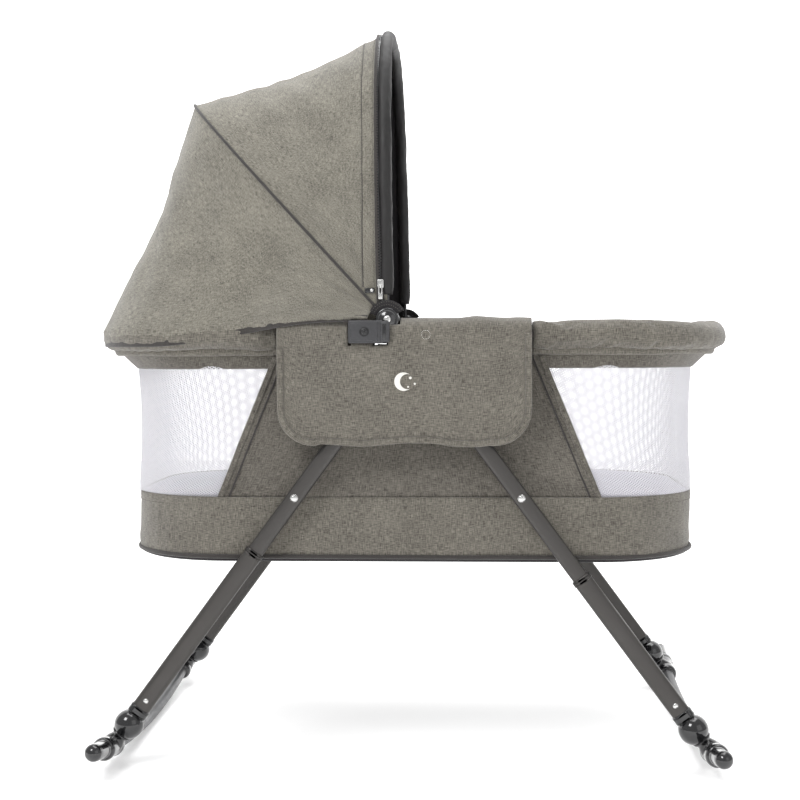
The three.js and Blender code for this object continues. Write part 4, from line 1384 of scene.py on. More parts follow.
@dataclass
class Rim:
    """The padded sleeves round the rim rails, with the piped flange and hem below them."""

    rig: Rig
    outline: PlanOutline
    pad_radius: float = 20.5 * MM
    pad_start: dict[End, float] = field(default_factory=lambda: {End.HEAD: 0.1775, End.FOOT: 0.1695})
    flange_drop: float = 19.0 * MM
    hem_bottom: float = 0.5475

    @property
    def pad_height(self) -> float:
        """The height of the pad's middle line."""
        return (self.rig.sizes.pad_low + self.rig.sizes.pad_high) / 2

    def build(self) -> None:
        """Builds both halves of the rim."""
        for end in End:
            self._pad(end)
            self._seam(end)
            self._flange(end)
            self._hem(end)

    def _spot(self, point: Vector) -> tuple[float, float]:
        """Where a point lies along and round the pad."""
        along, out = self.outline.station(point)
        return along, math.atan2(point.z - self.pad_height, out) * self.pad_radius

    def _pad(self, end: End) -> None:
        """The stuffed roll, swelled by simulation and puckered along its seams."""
        path = self.outline.ends_at(end, self.pad_start[end], self.pad_height, 150)

        def girth(share: float) -> float:
            """The roll's girth: drawn in a little at both ends."""
            edge = min(share, 1 - share)
            return 0.93 + 0.07 * smoothstep(0.0, 0.02, edge)

        piece = sweep(f"padded_rim_{end.label}", path, circle(self.pad_radius, 28), scale=girth)
        puff(piece, 5.0 * MM, 4.0, 0.04, 4.0 * MM, self._sewn)
        self._pucker(piece)
        wrap_uv(piece, self._spot, 2 * math.pi * self.pad_radius)
        refine(piece)
        stands_for = [f"rim_pad_{end.label}"]
        finish = self.rig.finish.heather
        self.rig.mount(piece, f"{end.label}_rim", finish, Slot.HEATHER_CLOTH, stands_for)

    def _sewn(self, point: Vector) -> bool:
        """Whether a point of the pad lies on its lower seam or at its ends."""
        _, out = self.outline.station(point)
        turn = math.degrees(math.atan2(point.z - self.pad_height, out))
        return abs(turn + 75) < 9 or abs(point.x) < self.pad_start[End.HEAD] + 4 * MM

    def _pucker(self, piece: Piece) -> None:
        """Adds the small gathers that run up from the lower seam, and long soft dents."""
        for vertex in piece.data.vertices:
            along, out = self.outline.station(vertex.co)
            turn = math.degrees(math.atan2(vertex.co.z - self.pad_height, out))
            near = math.exp(-((abs(turn + 72) / 42) ** 2))
            gather = noise.noise(Vector((along * 85, 0.6, 0))) * 1.5 * MM * near
            dent = noise.noise(Vector((along * 14, turn / 80, 3.1))) * 1.6 * MM
            centre = self._middle(vertex.co)
            way = (vertex.co - centre).normalized()
            vertex.co += way * (gather + dent)

    def _middle(self, point: Vector) -> Vector:
        """The nearest point of the pad's middle line."""
        centre_x = self.outline.half_length - self.outline.corner
        centre_y = self.outline.half_width - self.outline.corner
        sx, sy = math.copysign(1, point.x), math.copysign(1, point.y)
        x, y = abs(point.x), abs(point.y)
        if x <= centre_x:
            return Vector((point.x, sy * self.outline.half_width, self.pad_height))
        if y <= centre_y:
            return Vector((sx * self.outline.half_length, point.y, self.pad_height))
        way = Vector((x - centre_x, y - centre_y, 0)).normalized() * self.outline.corner
        return Vector((sx * (centre_x + way.x), sy * (centre_y + way.y), self.pad_height))

    def _seam(self, end: End) -> None:
        """The row of stitches along the roll's inner top."""
        lift, inset = 16.0 * MM, -13.5 * MM
        start = self.pad_start[end] + 2 * MM
        path = self.outline.ends_at(end, start, self.pad_height + lift, 220, inset)
        name = f"rim_stitches_{end.label}"
        piece = stitching(name, [path], lambda point: Vector((0, 0, 1)), 5 * MM)
        self.rig.mount(piece, f"{end.label}_rim", self.rig.finish.thread, Slot.HEATHER_CLOTH)

    def _flange(self, end: End) -> None:
        """The narrow piped lip below the roll."""
        height = self.pad_height - self.flange_drop
        path = self.outline.ends_at(end, self.pad_start[end], height, 200, 2.0 * MM)
        shaped = []
        for point in path:
            along, _ = self.outline.station(point)
            shaped.append(point + Vector((0, 0, 1.6 * MM * noise.noise(Vector((along * 22, 1.7, 0))))))
        section = [(a * 1.0, b * 1.55) for a, b in circle(5.2 * MM, 14)]
        piece = sweep(f"rim_flange_{end.label}", shaped, section)
        self.rig.mount(piece, f"{end.label}_rim", self.rig.finish.heather, Slot.HEATHER_CLOTH)

    def _hem(self, end: End) -> None:
        """The cloth hem that runs from the flange in to the top of the mesh."""
        levels = 9
        top, bottom = self.pad_height - self.flange_drop - 2 * MM, self.hem_bottom
        rows = []
        for i in range(levels + 1):
            share = i / levels
            height = top + (bottom - top) * share
            outset = 1.5 * MM * (1 - share) - 24.5 * MM * share ** 0.85
            path = self.outline.ends_at(end, self.pad_start[end], height, 200, 0.0)
            row = []
            for j, point in enumerate(path):
                along, _ = self.outline.station(point)
                out = outward(path, j, end.value)
                ripple = 1.6 * MM * noise.noise(Vector((along * 30, share * 1.4, 5.0))) * share
                side_share = smoothstep(0.24, 0.42, abs(point.x))
                step = outset * (0.12 + 0.88 * side_share)
                row.append(point + out * (step + ripple))
            rows.append(row)
        piece = skin(f"rim_hem_{end.label}", rows)
        thicken(piece, 1.6 * MM, 0.0)
        # The hem takes the darker heather cloth: painted shade under the rim roll.
        self.rig.mount(piece, f"{end.label}_rim", self.rig.finish.heather_dark, Slot.HEATHER_CLOTH)


@dataclass
class Tub:
    """The cloth tub: base band, mesh ends, side panels, lining, bottom and mattress."""

    rig: Rig
    wall: PlanOutline
    band: PlanOutline
    window_top: float = 181.0 * MM
    window_slant: float = 80.0 * MM
    binding_width: float = 8.0 * MM
    hem_height: float = 12.0 * MM

    def build(self) -> None:
        """Builds the tub from the bottom up."""
        self._bottom()
        self._base_band()
        self._lining()
        for side in Side:
            self._side_panel(side)
        for end in End:
            self._mesh_end(end)
        self._mattress()

    @property
    def low(self) -> float:
        """The height of the band's lower edge."""
        return self.rig.sizes.band_low.z

    @property
    def seat(self) -> float:
        """The height of the band's upper edge."""
        return self.rig.sizes.band_high.z

    @property
    def top(self) -> float:
        """The height of the walls' upper edge."""
        return self.rig.sizes.wall_high.z

    def edge_at(self, height: float) -> float:
        """How far from the middle the windows' slanted edge is at a height."""
        share = (self.top - height) / (self.top - self.seat)
        return self.window_top + self.window_slant * share

    def _closed(self, outset: float, height: float, count: int) -> list[Vector]:
        """The band's outline at a height, moved outwards."""
        band = self.band
        outline = rounded_outline(band.half_length + outset, band.half_width + outset, band.corner + outset)
        path = resample(outline + [outline[0]], count)
        return [Vector((p.x, p.y, height)) for p in path[:-1]]

    def _slack(self, point: Vector, share: float) -> float:
        """How far the band's cloth stands out: a soft bulge, long diagonal folds and small puckers."""
        bulge = 2.2 * MM * math.sin(math.pi * share) + 2.0 * MM * math.exp(-((share - 0.16) / 0.14) ** 2)
        fold = 3.4 * MM * crease(Vector((point.x + 0.6 * point.z, point.y, point.z * 1.2)), 12.0, 2.0)
        pucker = 0.7 * MM * crease(Vector((point.x, point.y, point.z * 0.25)), 62.0, 7.0)
        return bulge + fold + pucker * (0.35 + abs(2 * share - 1))

    def _base_band(self) -> None:
        """The solid band with its turned-over hem, stitching, side seams and dark piping."""
        count, levels = 460, 22
        start, stop = self.low + 7 * MM, self.seat
        hem_line = stop - self.hem_height
        rows = []
        for i in range(levels + 1):
            share = i / levels
            height = start + (stop - start) * share
            row = []
            base = self._closed(-1.5 * MM, height, count)
            for j, point in enumerate(base):
                out = outward(base + [base[0]], max(1, j), 1)
                hem = 1.3 * MM * smoothstep(hem_line - 1 * MM, hem_line + 1 * MM, height)
                stitch = -0.9 * MM * bump(hem_line, 1.6 * MM, height)
                seam = -1.4 * MM * bump(0.0, 2.2 * MM, point.x)
                seam += 0.9 * MM * bump(6 * MM, 3.5 * MM, abs(point.x))
                row.append(point + out * (self._slack(point, share) + hem + stitch + seam))
            rows.append(row)
        last = rows[-1]
        ring = last + [last[0]]
        rows.append([p - outward(ring, max(1, j), 1) * 3.2 * MM for j, p in enumerate(last)])
        piece = skin("base_band_cloth", rows, close_columns=True)
        LOG.info("the band's cloth measures %.3f square metres", cloth_area(piece))
        thicken(piece, 1.8 * MM)
        finish = self.rig.finish
        self.rig.tub_cloth(piece, finish.heather, Slot.HEATHER_CLOTH, ["base_band"])
        piping = self._ring_tube("base_piping", self.low + 7.5 * MM, 1.2 * MM, 3.0 * MM)
        self.rig.tub_cloth(piping, finish.piping, Slot.DARK_CLOTH)
        share = (hem_line - start) / (stop - start)
        line = []
        for point in self._closed(-1.5 * MM, hem_line, 620):
            line.append(point + self._radial(point) * (self._slack(point, share) + 0.3 * MM))
        stitches = stitching("band_stitches", [line], self._radial)
        self.rig.tub_cloth(stitches, finish.thread, Slot.HEATHER_CLOTH)

    def _radial(self, point: Vector) -> Vector:
        """The level direction out of the band at a point."""
        centre_x = self.band.half_length - self.band.corner
        centre_y = self.band.half_width - self.band.corner
        way = Vector((0, 0, 0))
        if abs(point.x) > centre_x:
            way.x = point.x - math.copysign(centre_x, point.x)
        if abs(point.y) > centre_y:
            way.y = point.y - math.copysign(centre_y, point.y)
        return way.normalized()

    def _ring_tube(self, name: str, height: float, outset: float, radius: float) -> Piece:
        """A closed cord of cloth round the band."""
        rows = []
        for point in self._closed(outset, height, 300):
            out = self._radial(point)
            rows.append([point + out * a + Vector((0, 0, b)) for a, b in circle(radius, 10)])
        return skin(name, rows, close_rows=True, close_columns=True)

    def _bottom(self) -> None:
        """The black cloth stretched over the floor board, rounded up to the band."""
        profile = [(-6.0, 9.0), (-2.0, 8.0), (-0.8, 5.5), (-2.4, 2.4), (-7.0, 0.6), (-16.0, 0.3)]
        rows = [self._closed(out * MM, self.low + up * MM, 260) for out, up in profile]
        rows.append([Vector((p.x * 0.6, p.y * 0.6, self.low + 1.2 * MM)) for p in rows[-1]])
        rows.append([Vector((p.x * 0.4, p.y * 0.4, self.low + 1.0 * MM)) for p in rows[-1]])
        bm = bmesh.new()
        add_grid(bm, rows, close_columns=True)
        centre = bm.verts.new((0, 0, self.low + 1.0 * MM))
        bm.verts.ensure_lookup_table()
        last = bm.verts[len(bm.verts) - 1 - 260 : len(bm.verts) - 1]
        for a, b in zip(last, list(last[1:]) + [last[0]]):
            bm.faces.new((a, b, centre))
        piece = new_object("bottom_cloth", bm)
        thicken(piece, 1.2 * MM, 0.0)
        self.rig.tub_cloth(piece, self.rig.finish.black_cloth, Slot.DARK_CLOTH, ["floor_board"])

    def _lining(self) -> None:
        """The pale lining inside the band, down to the mattress, with its folded top."""
        count = 300
        profile = [(-5.2, -1.0), (-6.4, -3.0), (-6.2, -12.0), (-6.8, -30.0), (-7.4, -55.0), (-8.0, -82.0)]
        rows = []
        for out, down in profile:
            row = []
            for point in self._closed(out * MM, self.seat + down * MM, count):
                ripple = 1.1 * MM * crease(Vector((point.x, point.y, point.z * 0.4)), 26.0, 11.0)
                row.append(point + self._radial(point) * (ripple * min(1.0, -down / 20)))
            rows.append(row)
        piece = skin("inner_lining", rows, close_columns=True)
        thicken(piece, 0.9 * MM, 1.0)
        self.rig.tub_cloth(piece, self.rig.finish.lining, Slot.MESH_CLOTH)

    def _side_panel(self, side: Side) -> None:
        """The solid panel between the windows, with its bindings and soft folds."""
        columns, levels = 90, 40
        rows = []
        for i in range(levels + 1):
            height = self.seat - 2 * MM + (self.top + 1 * MM - self.seat) * i / levels
            reach = self.edge_at(height)
            row = []
            for j in range(columns + 1):
                x = -reach + 2 * reach * j / columns
                slant = x * 1.4 + (height if x > 0 else -height) * 0.9
                fold = 4.6 * MM * crease(Vector((slant, side.value, height)), 15.0, 4.0)
                dimple = 1.6 * MM * crease(Vector((x, side.value, height * 0.6)), 46.0, 9.0)
                fade = min(1.0, 12 * (1 - abs(x) / reach)) * min(1.0, 6 * i / levels)
                reach_y = self.wall.half_width - 1.0 * MM + (fold + dimple) * fade
                row.append(Vector((x, side.value * reach_y, height)))
            rows.append(row)
        piece = skin(f"side_cloth_{side.label}", rows)
        thicken(piece, 1.6 * MM, 0.0)
        finish = self.rig.finish
        stands_for = [f"side_panel_{side.label}"]
        # The panel takes the darker heather cloth: painted shade under the flap.
        self.rig.tub_cloth(piece, finish.heather_dark, Slot.HEATHER_CLOTH, stands_for)
        for end in End:
            for number, inward in enumerate((1.0 * MM, 13.0 * MM)):
                path = []
                for i in range(31):
                    height = self.seat - 3 * MM + (self.top + 2 * MM - self.seat) * i / 30
                    x = end.value * (self.edge_at(height) - inward)
                    wave = 0.5 * MM * noise.noise(Vector((x * 9, height * 30, inward * 90)))
                    path.append(Vector((x + wave, side.value * (self.wall.half_width + 0.6 * MM), height)))
                # The outer binding also takes the darker heather cloth as painted shade; the inner one is
                # dark piping.
                width, material, slot = (
                    (self.binding_width, finish.heather_dark, Slot.HEATHER_CLOTH)
                    if number == 0
                    else (2.6 * MM, finish.piping, Slot.DARK_CLOTH)
                )
                normals = [Vector((0, side.value, 0))] * len(path)
                name = f"window_binding_{number}_{end.label}_{side.label}"
                trim = ribbon(name, path, normals, width, 1.3 * MM)
                self.rig.tub_cloth(trim, material, slot)

    def _mesh_end(self, end: End) -> None:
        """The knitted mesh round one end, drawn in a little at its middle, with dark edge cords."""
        columns, levels = 150, 26
        rows, edges = [], {Side.LEFT: [], Side.RIGHT: []}
        for i in range(levels + 1):
            share = i / levels
            height = self.seat - 3 * MM + (self.top - 6 * MM - self.seat) * share
            base = self.wall.ends_at(end, self.edge_at(height) - 3 * MM, height, columns)
            row = []
            for j, point in enumerate(base):
                out = outward(base, j, end.value)
                slack = -3.2 * MM * math.sin(math.pi * share)
                wave = 1.3 * MM * crease(Vector((point.x, point.y, point.z * 0.35)), 16.0, 6.0)
                fade = min(1.0, 10 * min(j, columns - j) / columns)
                fade *= min(1.0, 4 * min(share, 1 - share))
                row.append(point + out * ((slack + wave) * fade - 2.2 * MM))
            rows.append(row)
            edges[Side.LEFT].append(row[0])
            edges[Side.RIGHT].append(row[-1])
        piece = skin(f"mesh_window_{end.label}", rows)
        thicken(piece, 0.5 * MM, 0.0)
        finish = self.rig.finish
        self.rig.tub_cloth(piece, finish.net, Slot.MESH_CLOTH, [f"mesh_end_{end.label}"])
        for side, line in edges.items():
            shift, plane = end.value * 3.2 * MM, side.value * (self.wall.half_width - 0.2 * MM)
            path = [Vector((p.x + shift, plane, p.z)) for p in line]
            name = f"window_piping_{end.label}_{side.label}"
            cord = sweep(name, path, circle(1.5 * MM, 10), up=Vector((0, 1, 0)))
            self.rig.tub_cloth(cord, finish.piping, Slot.DARK_CLOTH)

    def _mattress(self) -> None:
        """The thin padded mattress with a welt round its edge."""
        sizes = self.rig.sizes
        low, high = sizes.mattress_low, sizes.mattress_high
        half_length, half_width = high.x - 2 * MM, high.y - 2 * MM
        corner = self.band.corner - 29 * MM
        outline = rounded_outline(half_length, half_width, corner)
        ring = resample(outline + [outline[0]], 260)[:-1]
        rows = []
        thickness = high.z - low.z
        for inset, height in ((40, 2), (8, 2), (1.5, 5), (0, 10), (0, 20), (1.5, 25), (8, 27), (40, 28)):
            scale_x = (half_length - inset * MM) / half_length
            scale_y = (half_width - inset * MM) / half_width
            lift = low.z + height * MM * thickness / (30 * MM)
            rows.append([Vector((p.x * scale_x, p.y * scale_y, lift)) for p in ring])
        piece = skin("mattress_pad_cover", rows, close_columns=True, caps=True)
        middle = (low.z + high.z) / 2
        puff(piece, 7.0 * MM, 2.5, 0.02, 5.0 * MM, lambda point: abs(point.z - middle) < 4 * MM)
        refine(piece)
        finish = self.rig.finish
        self.rig.mount(piece, "mattress_pad", finish.quilt, Slot.MATTRESS_COVER, ["mattress"])
        self.rig.crumple(piece)
        welt_rows = []
        for point in ring:
            out = Vector((point.x / half_length, point.y / half_width, 0)).normalized()
            place = Vector((point.x, point.y, high.z - 4.5 * MM)) - out * 0.3 * MM
            welt_rows.append([place + out * a + Vector((0, 0, b)) for a, b in circle(1.9 * MM, 10)])
        welt = skin("mattress_welt", welt_rows, close_rows=True, close_columns=True)
        self.rig.mount(welt, "mattress_pad", finish.lining, Slot.MATTRESS_COVER)
        self.rig.crumple(welt)


@dataclass
class Flap:
    """The apron over one hub: it hangs outside, wraps the rail and tucks in behind it."""

    rig: Rig
    side: Side
    corner: float = 50.0 * MM
    binding: float = 9.0 * MM
    sag: float = 5.0 * MM
    keep: float = 0.4

    def _bottom(self, x: float) -> float:
        """The height of the wavy lower edge at a place along the flap."""
        sizes = self.rig.sizes
        low = sizes.flap_low.z - 0.5 * MM
        middle = (sizes.flap_low.x + sizes.flap_high.x) / 2
        half = (sizes.flap_high.x - sizes.flap_low.x) / 2
        reach = abs(x - middle)
        rise = 0.0
        if reach > half - self.corner:
            gone = min(1.0, (reach - half + self.corner) / self.corner)
            rise = self.corner * (1 - math.sqrt(max(0.0, 1 - gone * gone)))
        wave = 2.2 * MM * math.sin((x - middle) * 46 + 0.8)
        wave += 1.4 * MM * noise.noise(Vector((x * 40, 2.0, 0)))
        return low + rise + wave + self.sag * (1 - smoothstep(0.0, half, reach)) * 0.5

    def _profile(self, x: float, count: int) -> list[Vector]:
        """The cloth's line at a place along the flap, from the lower edge over the rail to the inside."""
        sizes = self.rig.sizes
        outer, inner = sizes.flap_high.y - 1.0 * MM, sizes.flap_low.y + 1.0 * MM
        top, rise = sizes.flap_high.z - 1.5 * MM, 17.0 * MM
        middle, half = (outer + inner) / 2, (outer - inner) / 2
        line = [Vector((x, outer, self._bottom(x)))]
        shoulder = top - rise
        for i in range(1, 8):
            share = i / 8
            line.append(Vector((x, outer, line[0].z + (shoulder - line[0].z) * share)))
        for i in range(17):
            turn = math.pi * i / 16
            line.append(Vector((x, middle + half * math.cos(turn), shoulder + rise * math.sin(turn))))
        line.append(Vector((x, inner, shoulder - 38 * MM)))
        return resample(line, count)

    def _drape(self, point: Vector) -> Vector:
        """Adds hanging folds, bumps over the hub and puckers near the edges."""
        sizes = self.rig.sizes
        lower = 1 - smoothstep(sizes.flap_low.z, sizes.flap_low.z + 0.12, point.z)
        wave = 3.0 * MM * math.sin(point.x * 46 + 0.8) * lower
        fold = 2.4 * MM * crease(Vector((point.x, 0.0, point.z * 0.55)), 17.0, 3.0 + self.side.value)
        pucker = 0.8 * MM * crease(Vector((point.x, 0.0, point.z)), 60.0, 8.0)
        hub = 2.0 * MM * bump(0.0, 38 * MM, point.x) * bump(0.585, 30 * MM, point.z)
        droop = -4.5 * MM * lower * (1 - 0.4 * bump(0.0, 90 * MM, point.x))
        outside = smoothstep(-0.3, 0.3, (point.y - 0.235) / 0.03)
        top_fold = 2.2 * MM * crease(Vector((point.x * 1.5, point.y, 0.0)), 24.0, 12.0) * (1 - outside)
        out = wave + fold + pucker + hub + droop
        over = 1.8 * MM * bump(0.10, 22 * MM, point.x) * smoothstep(0.59, 0.615, point.z)
        return point + Vector((0, max(-5.0 * MM, out - 2.2 * MM) * outside, top_fold - 0.5 * MM + over))

    def _mirror(self, point: Vector) -> Vector:
        """Moves a point made on the right side to this flap's side."""
        return Vector((point.x, self.side.value * point.y, point.z))

    def build(self) -> None:
        """Builds the sheet, its bound edge, the stitches and the embroidery."""
        sizes, finish = self.rig.sizes, self.rig.finish
        columns, levels = 150, 96
        rows = []
        for i in range(columns + 1):
            x = sizes.flap_low.x + (sizes.flap_high.x - sizes.flap_low.x) * i / columns
            rows.append([self._mirror(self._drape(p)) for p in self._profile(x, levels)])
        bm = bmesh.new()
        add_grid(bm, rows)
        clear = [face for face in bm.faces if self._in_notch(face.calc_center_median())]
        bmesh.ops.delete(bm, geom=clear, context="FACES")
        piece = new_object(f"hub_apron_{self.side.label}", bm)
        thicken(piece, 2.0 * MM, 0.0)
        label, cloth = self.side.label, Slot.HEATHER_CLOTH
        out = Vector((0, self.side.value, 0))
        self.rig.tub_cloth(piece, finish.heather, cloth, [f"rim_flap_{label}"], self.keep)
        middle = self._edge_line(self.binding / 2)
        binding = ribbon(
            f"apron_binding_{label}", middle, [out] * len(middle), self.binding, 2.0 * MM
        )
        self.rig.tub_cloth(binding, finish.heather, cloth, keep=self.keep)
        insets = (self.binding * 0.82, self.binding + 1.6 * MM)
        lines = [[p + out * 1.9 * MM for p in self._edge_line(inset)] for inset in insets]
        stitches = stitching(f"apron_stitches_{label}", lines, lambda point: out)
        self.rig.tub_cloth(stitches, finish.thread, cloth, keep=self.keep)
        badge = self._embroidery()

    def _in_notch(self, point: Vector) -> bool:
        """Whether a point lies in the opening that the canopy clamp and hinge pass through."""
        hinge = self.rig.sizes.hinge
        along = point.x - hinge.x
        over_clamp = -54 * MM < along < 1 * MM and point.z > hinge.z - 34 * MM
        over_hinge = -54 * MM < along < 18 * MM and point.z > hinge.z - 8 * MM
        return (over_clamp or over_hinge) and abs(point.y) > 0.204

    def _edge_line(self, inset: float) -> list[Vector]:
        """A line on the outer face that follows the flap's free edge at a distance.

        Args:
            inset: The distance from the edge.

        Returns:
            The line's points, from the head edge round the bottom to the foot edge.
        """
        sizes = self.rig.sizes
        outline = []
        left, right = sizes.flap_low.x + inset, sizes.flap_high.x - inset
        top = sizes.hinge.z - 38 * MM
        corner = self.corner - inset
        curve = sizes.flap_low.z + self.corner
        for i in range(8):
            height = top + (curve - top) * i / 8
            outline.append(Vector((left, 0, height)))
        for i in range(13):
            turn = math.pi / 2 * i / 12
            x, height = left + corner * (1 - math.cos(turn)), curve - corner * math.sin(turn)
            outline.append(Vector((x, 0, height)))
        for i in range(1, 30):
            x = left + corner + (right - left - 2 * corner) * i / 30
            outline.append(Vector((x, 0, self._bottom(x) + inset)))
        for i in range(13):
            turn = math.pi / 2 * (1 - i / 12)
            x, height = right - corner * (1 - math.cos(turn)), curve - corner * math.sin(turn)
            outline.append(Vector((x, 0, height)))
        for i in range(1, 9):
            height = curve + (top + 20 * MM - curve) * i / 8
            outline.append(Vector((right, 0, height)))
        outer = sizes.flap_high.y - 1.0 * MM
        shaped = []
        for p in resample(outline, 200):
            on_cloth = self._drape(Vector((p.x, outer, p.z)))
            shaped.append(self._mirror(on_cloth + Vector((0, 0.9 * MM, 0))))
        return shaped

    def _embroidery(self) -> Piece:
        """A small plain crescent with three dots, sewn in ivory thread, and a ring above it."""
        sizes = self.rig.sizes
        outer = sizes.flap_high.y - 1.0 * MM
        out = Vector((0, self.side.value, 0))
        centre = Vector((-4 * MM, 0, 0.531))
        bm = bmesh.new()
        outer_arc = [(math.radians(t), 12.5 * MM, 0.0) for t in range(-118, 119, 6)]
        inner_arc = [(math.radians(t), 10.2 * MM, 5.4 * MM) for t in range(118, -119, -6)]
        ring = []
        for turn, radius, shift in outer_arc + inner_arc:
            ring.append(Vector((-radius * math.cos(turn) + shift, 0, radius * math.sin(turn))))
        half = len(outer_arc)
        pairs = list(zip(ring[:half], reversed(ring[half:])))
        rows = []
        for a, b in pairs:
            line = []
            for k in range(7):
                share = k / 6
                point = a.lerp(b, share) + centre
                crown = 0.9 * MM * math.sin(math.pi * share) + 0.15 * MM * (k % 2)
                cloth = self._drape(Vector((point.x, outer, point.z)))
                line.append(self._mirror(cloth + Vector((0, 1.25 * MM + crown, 0))))
            rows.append(line)
        add_grid(bm, rows)
        for dx, dz, radius in ((9, 5, 1.9), (15, -3, 1.5), (6, -7, 1.3)):
            spot = centre + Vector((dx * MM, 0, dz * MM))
            cloth = self._mirror(self._drape(Vector((spot.x, outer, spot.z))) + Vector((0, 0.9 * MM, 0)))
            dome = [(radius, 0), (radius * 0.9, 0.7), (radius * 0.5, 1.1), (0, 1.2)]
            add_lathe(bm, [(r * MM, a * MM) for r, a in dome], cloth, out, 16)
        patch_centre = Vector((26 * MM, 0, 0.594))
        loop = []
        for i in range(33):
            turn = 2 * math.pi * i / 32
            point = patch_centre + Vector((6 * MM * math.cos(turn), 0, 6 * MM * math.sin(turn)))
            cloth = self._drape(Vector((point.x, outer - 1.5 * MM, point.z)))
            loop.append(self._mirror(cloth + Vector((0, 2.2 * MM, 0))))
        add_stitches(bm, loop, lambda point: out, pitch=2.2 * MM)
        piece = new_object(f"crescent_embroidery_{self.side.label}", bm)
        finish = self.rig.finish.pale_thread
        return self.rig.tub_cloth(piece, finish, Slot.MESH_CLOTH, keep=self.keep)


@dataclass(frozen=True)
class Hoop:
    """A rounded hoop that stands on both hinges."""

    reach: float
    angle: float
    half_width: float
    squareness: float

    def line(self, hinge: Vector, start: float, count: int, outset: float = 0.0) -> list[Vector]:
        """Points along the hoop from the left side to the right.

        Args:
            hinge: The hinges' axis in the middle plane.
            start: How far from the hinge the line starts and stops.
            count: How many steps it has.
            outset: How far outside the hoop it runs.

        Returns:
            count + 1 evenly spaced points.
        """
        power = 2 / self.squareness
        points = []
        for i in range(801):
            turn = math.pi * i / 800
            across = -math.copysign(abs(math.cos(turn)) ** power, math.cos(turn))
            along = abs(math.sin(turn)) ** power * self.reach
            points.append(self._at(hinge, across * self.half_width, along))
        middle = self._at(hinge, 0.0, 0.4 * self.reach)
        kept = [point for point in points if (point - self._at(hinge, point.y, 0.0)).length >= start]
        kept.insert(0, self._at(hinge, -self.half_width, start))
        kept.append(self._at(hinge, self.half_width, start))
        line = resample(kept, count)
        if outset:
            low = [self._at(hinge, point.y * 0.2, 0.0) for point in line]
            line = [
                point + (point - middle.lerp(base, 0.35)).normalized() * outset
                for point, base in zip(line, low)
            ]
        return line

    def _at(self, hinge: Vector, across: float, along: float) -> Vector:
        """A point of the hoop's plane."""
        turn = math.radians(self.angle)
        return Vector((hinge.x + along * math.cos(turn), across, hinge.z + along * math.sin(turn)))


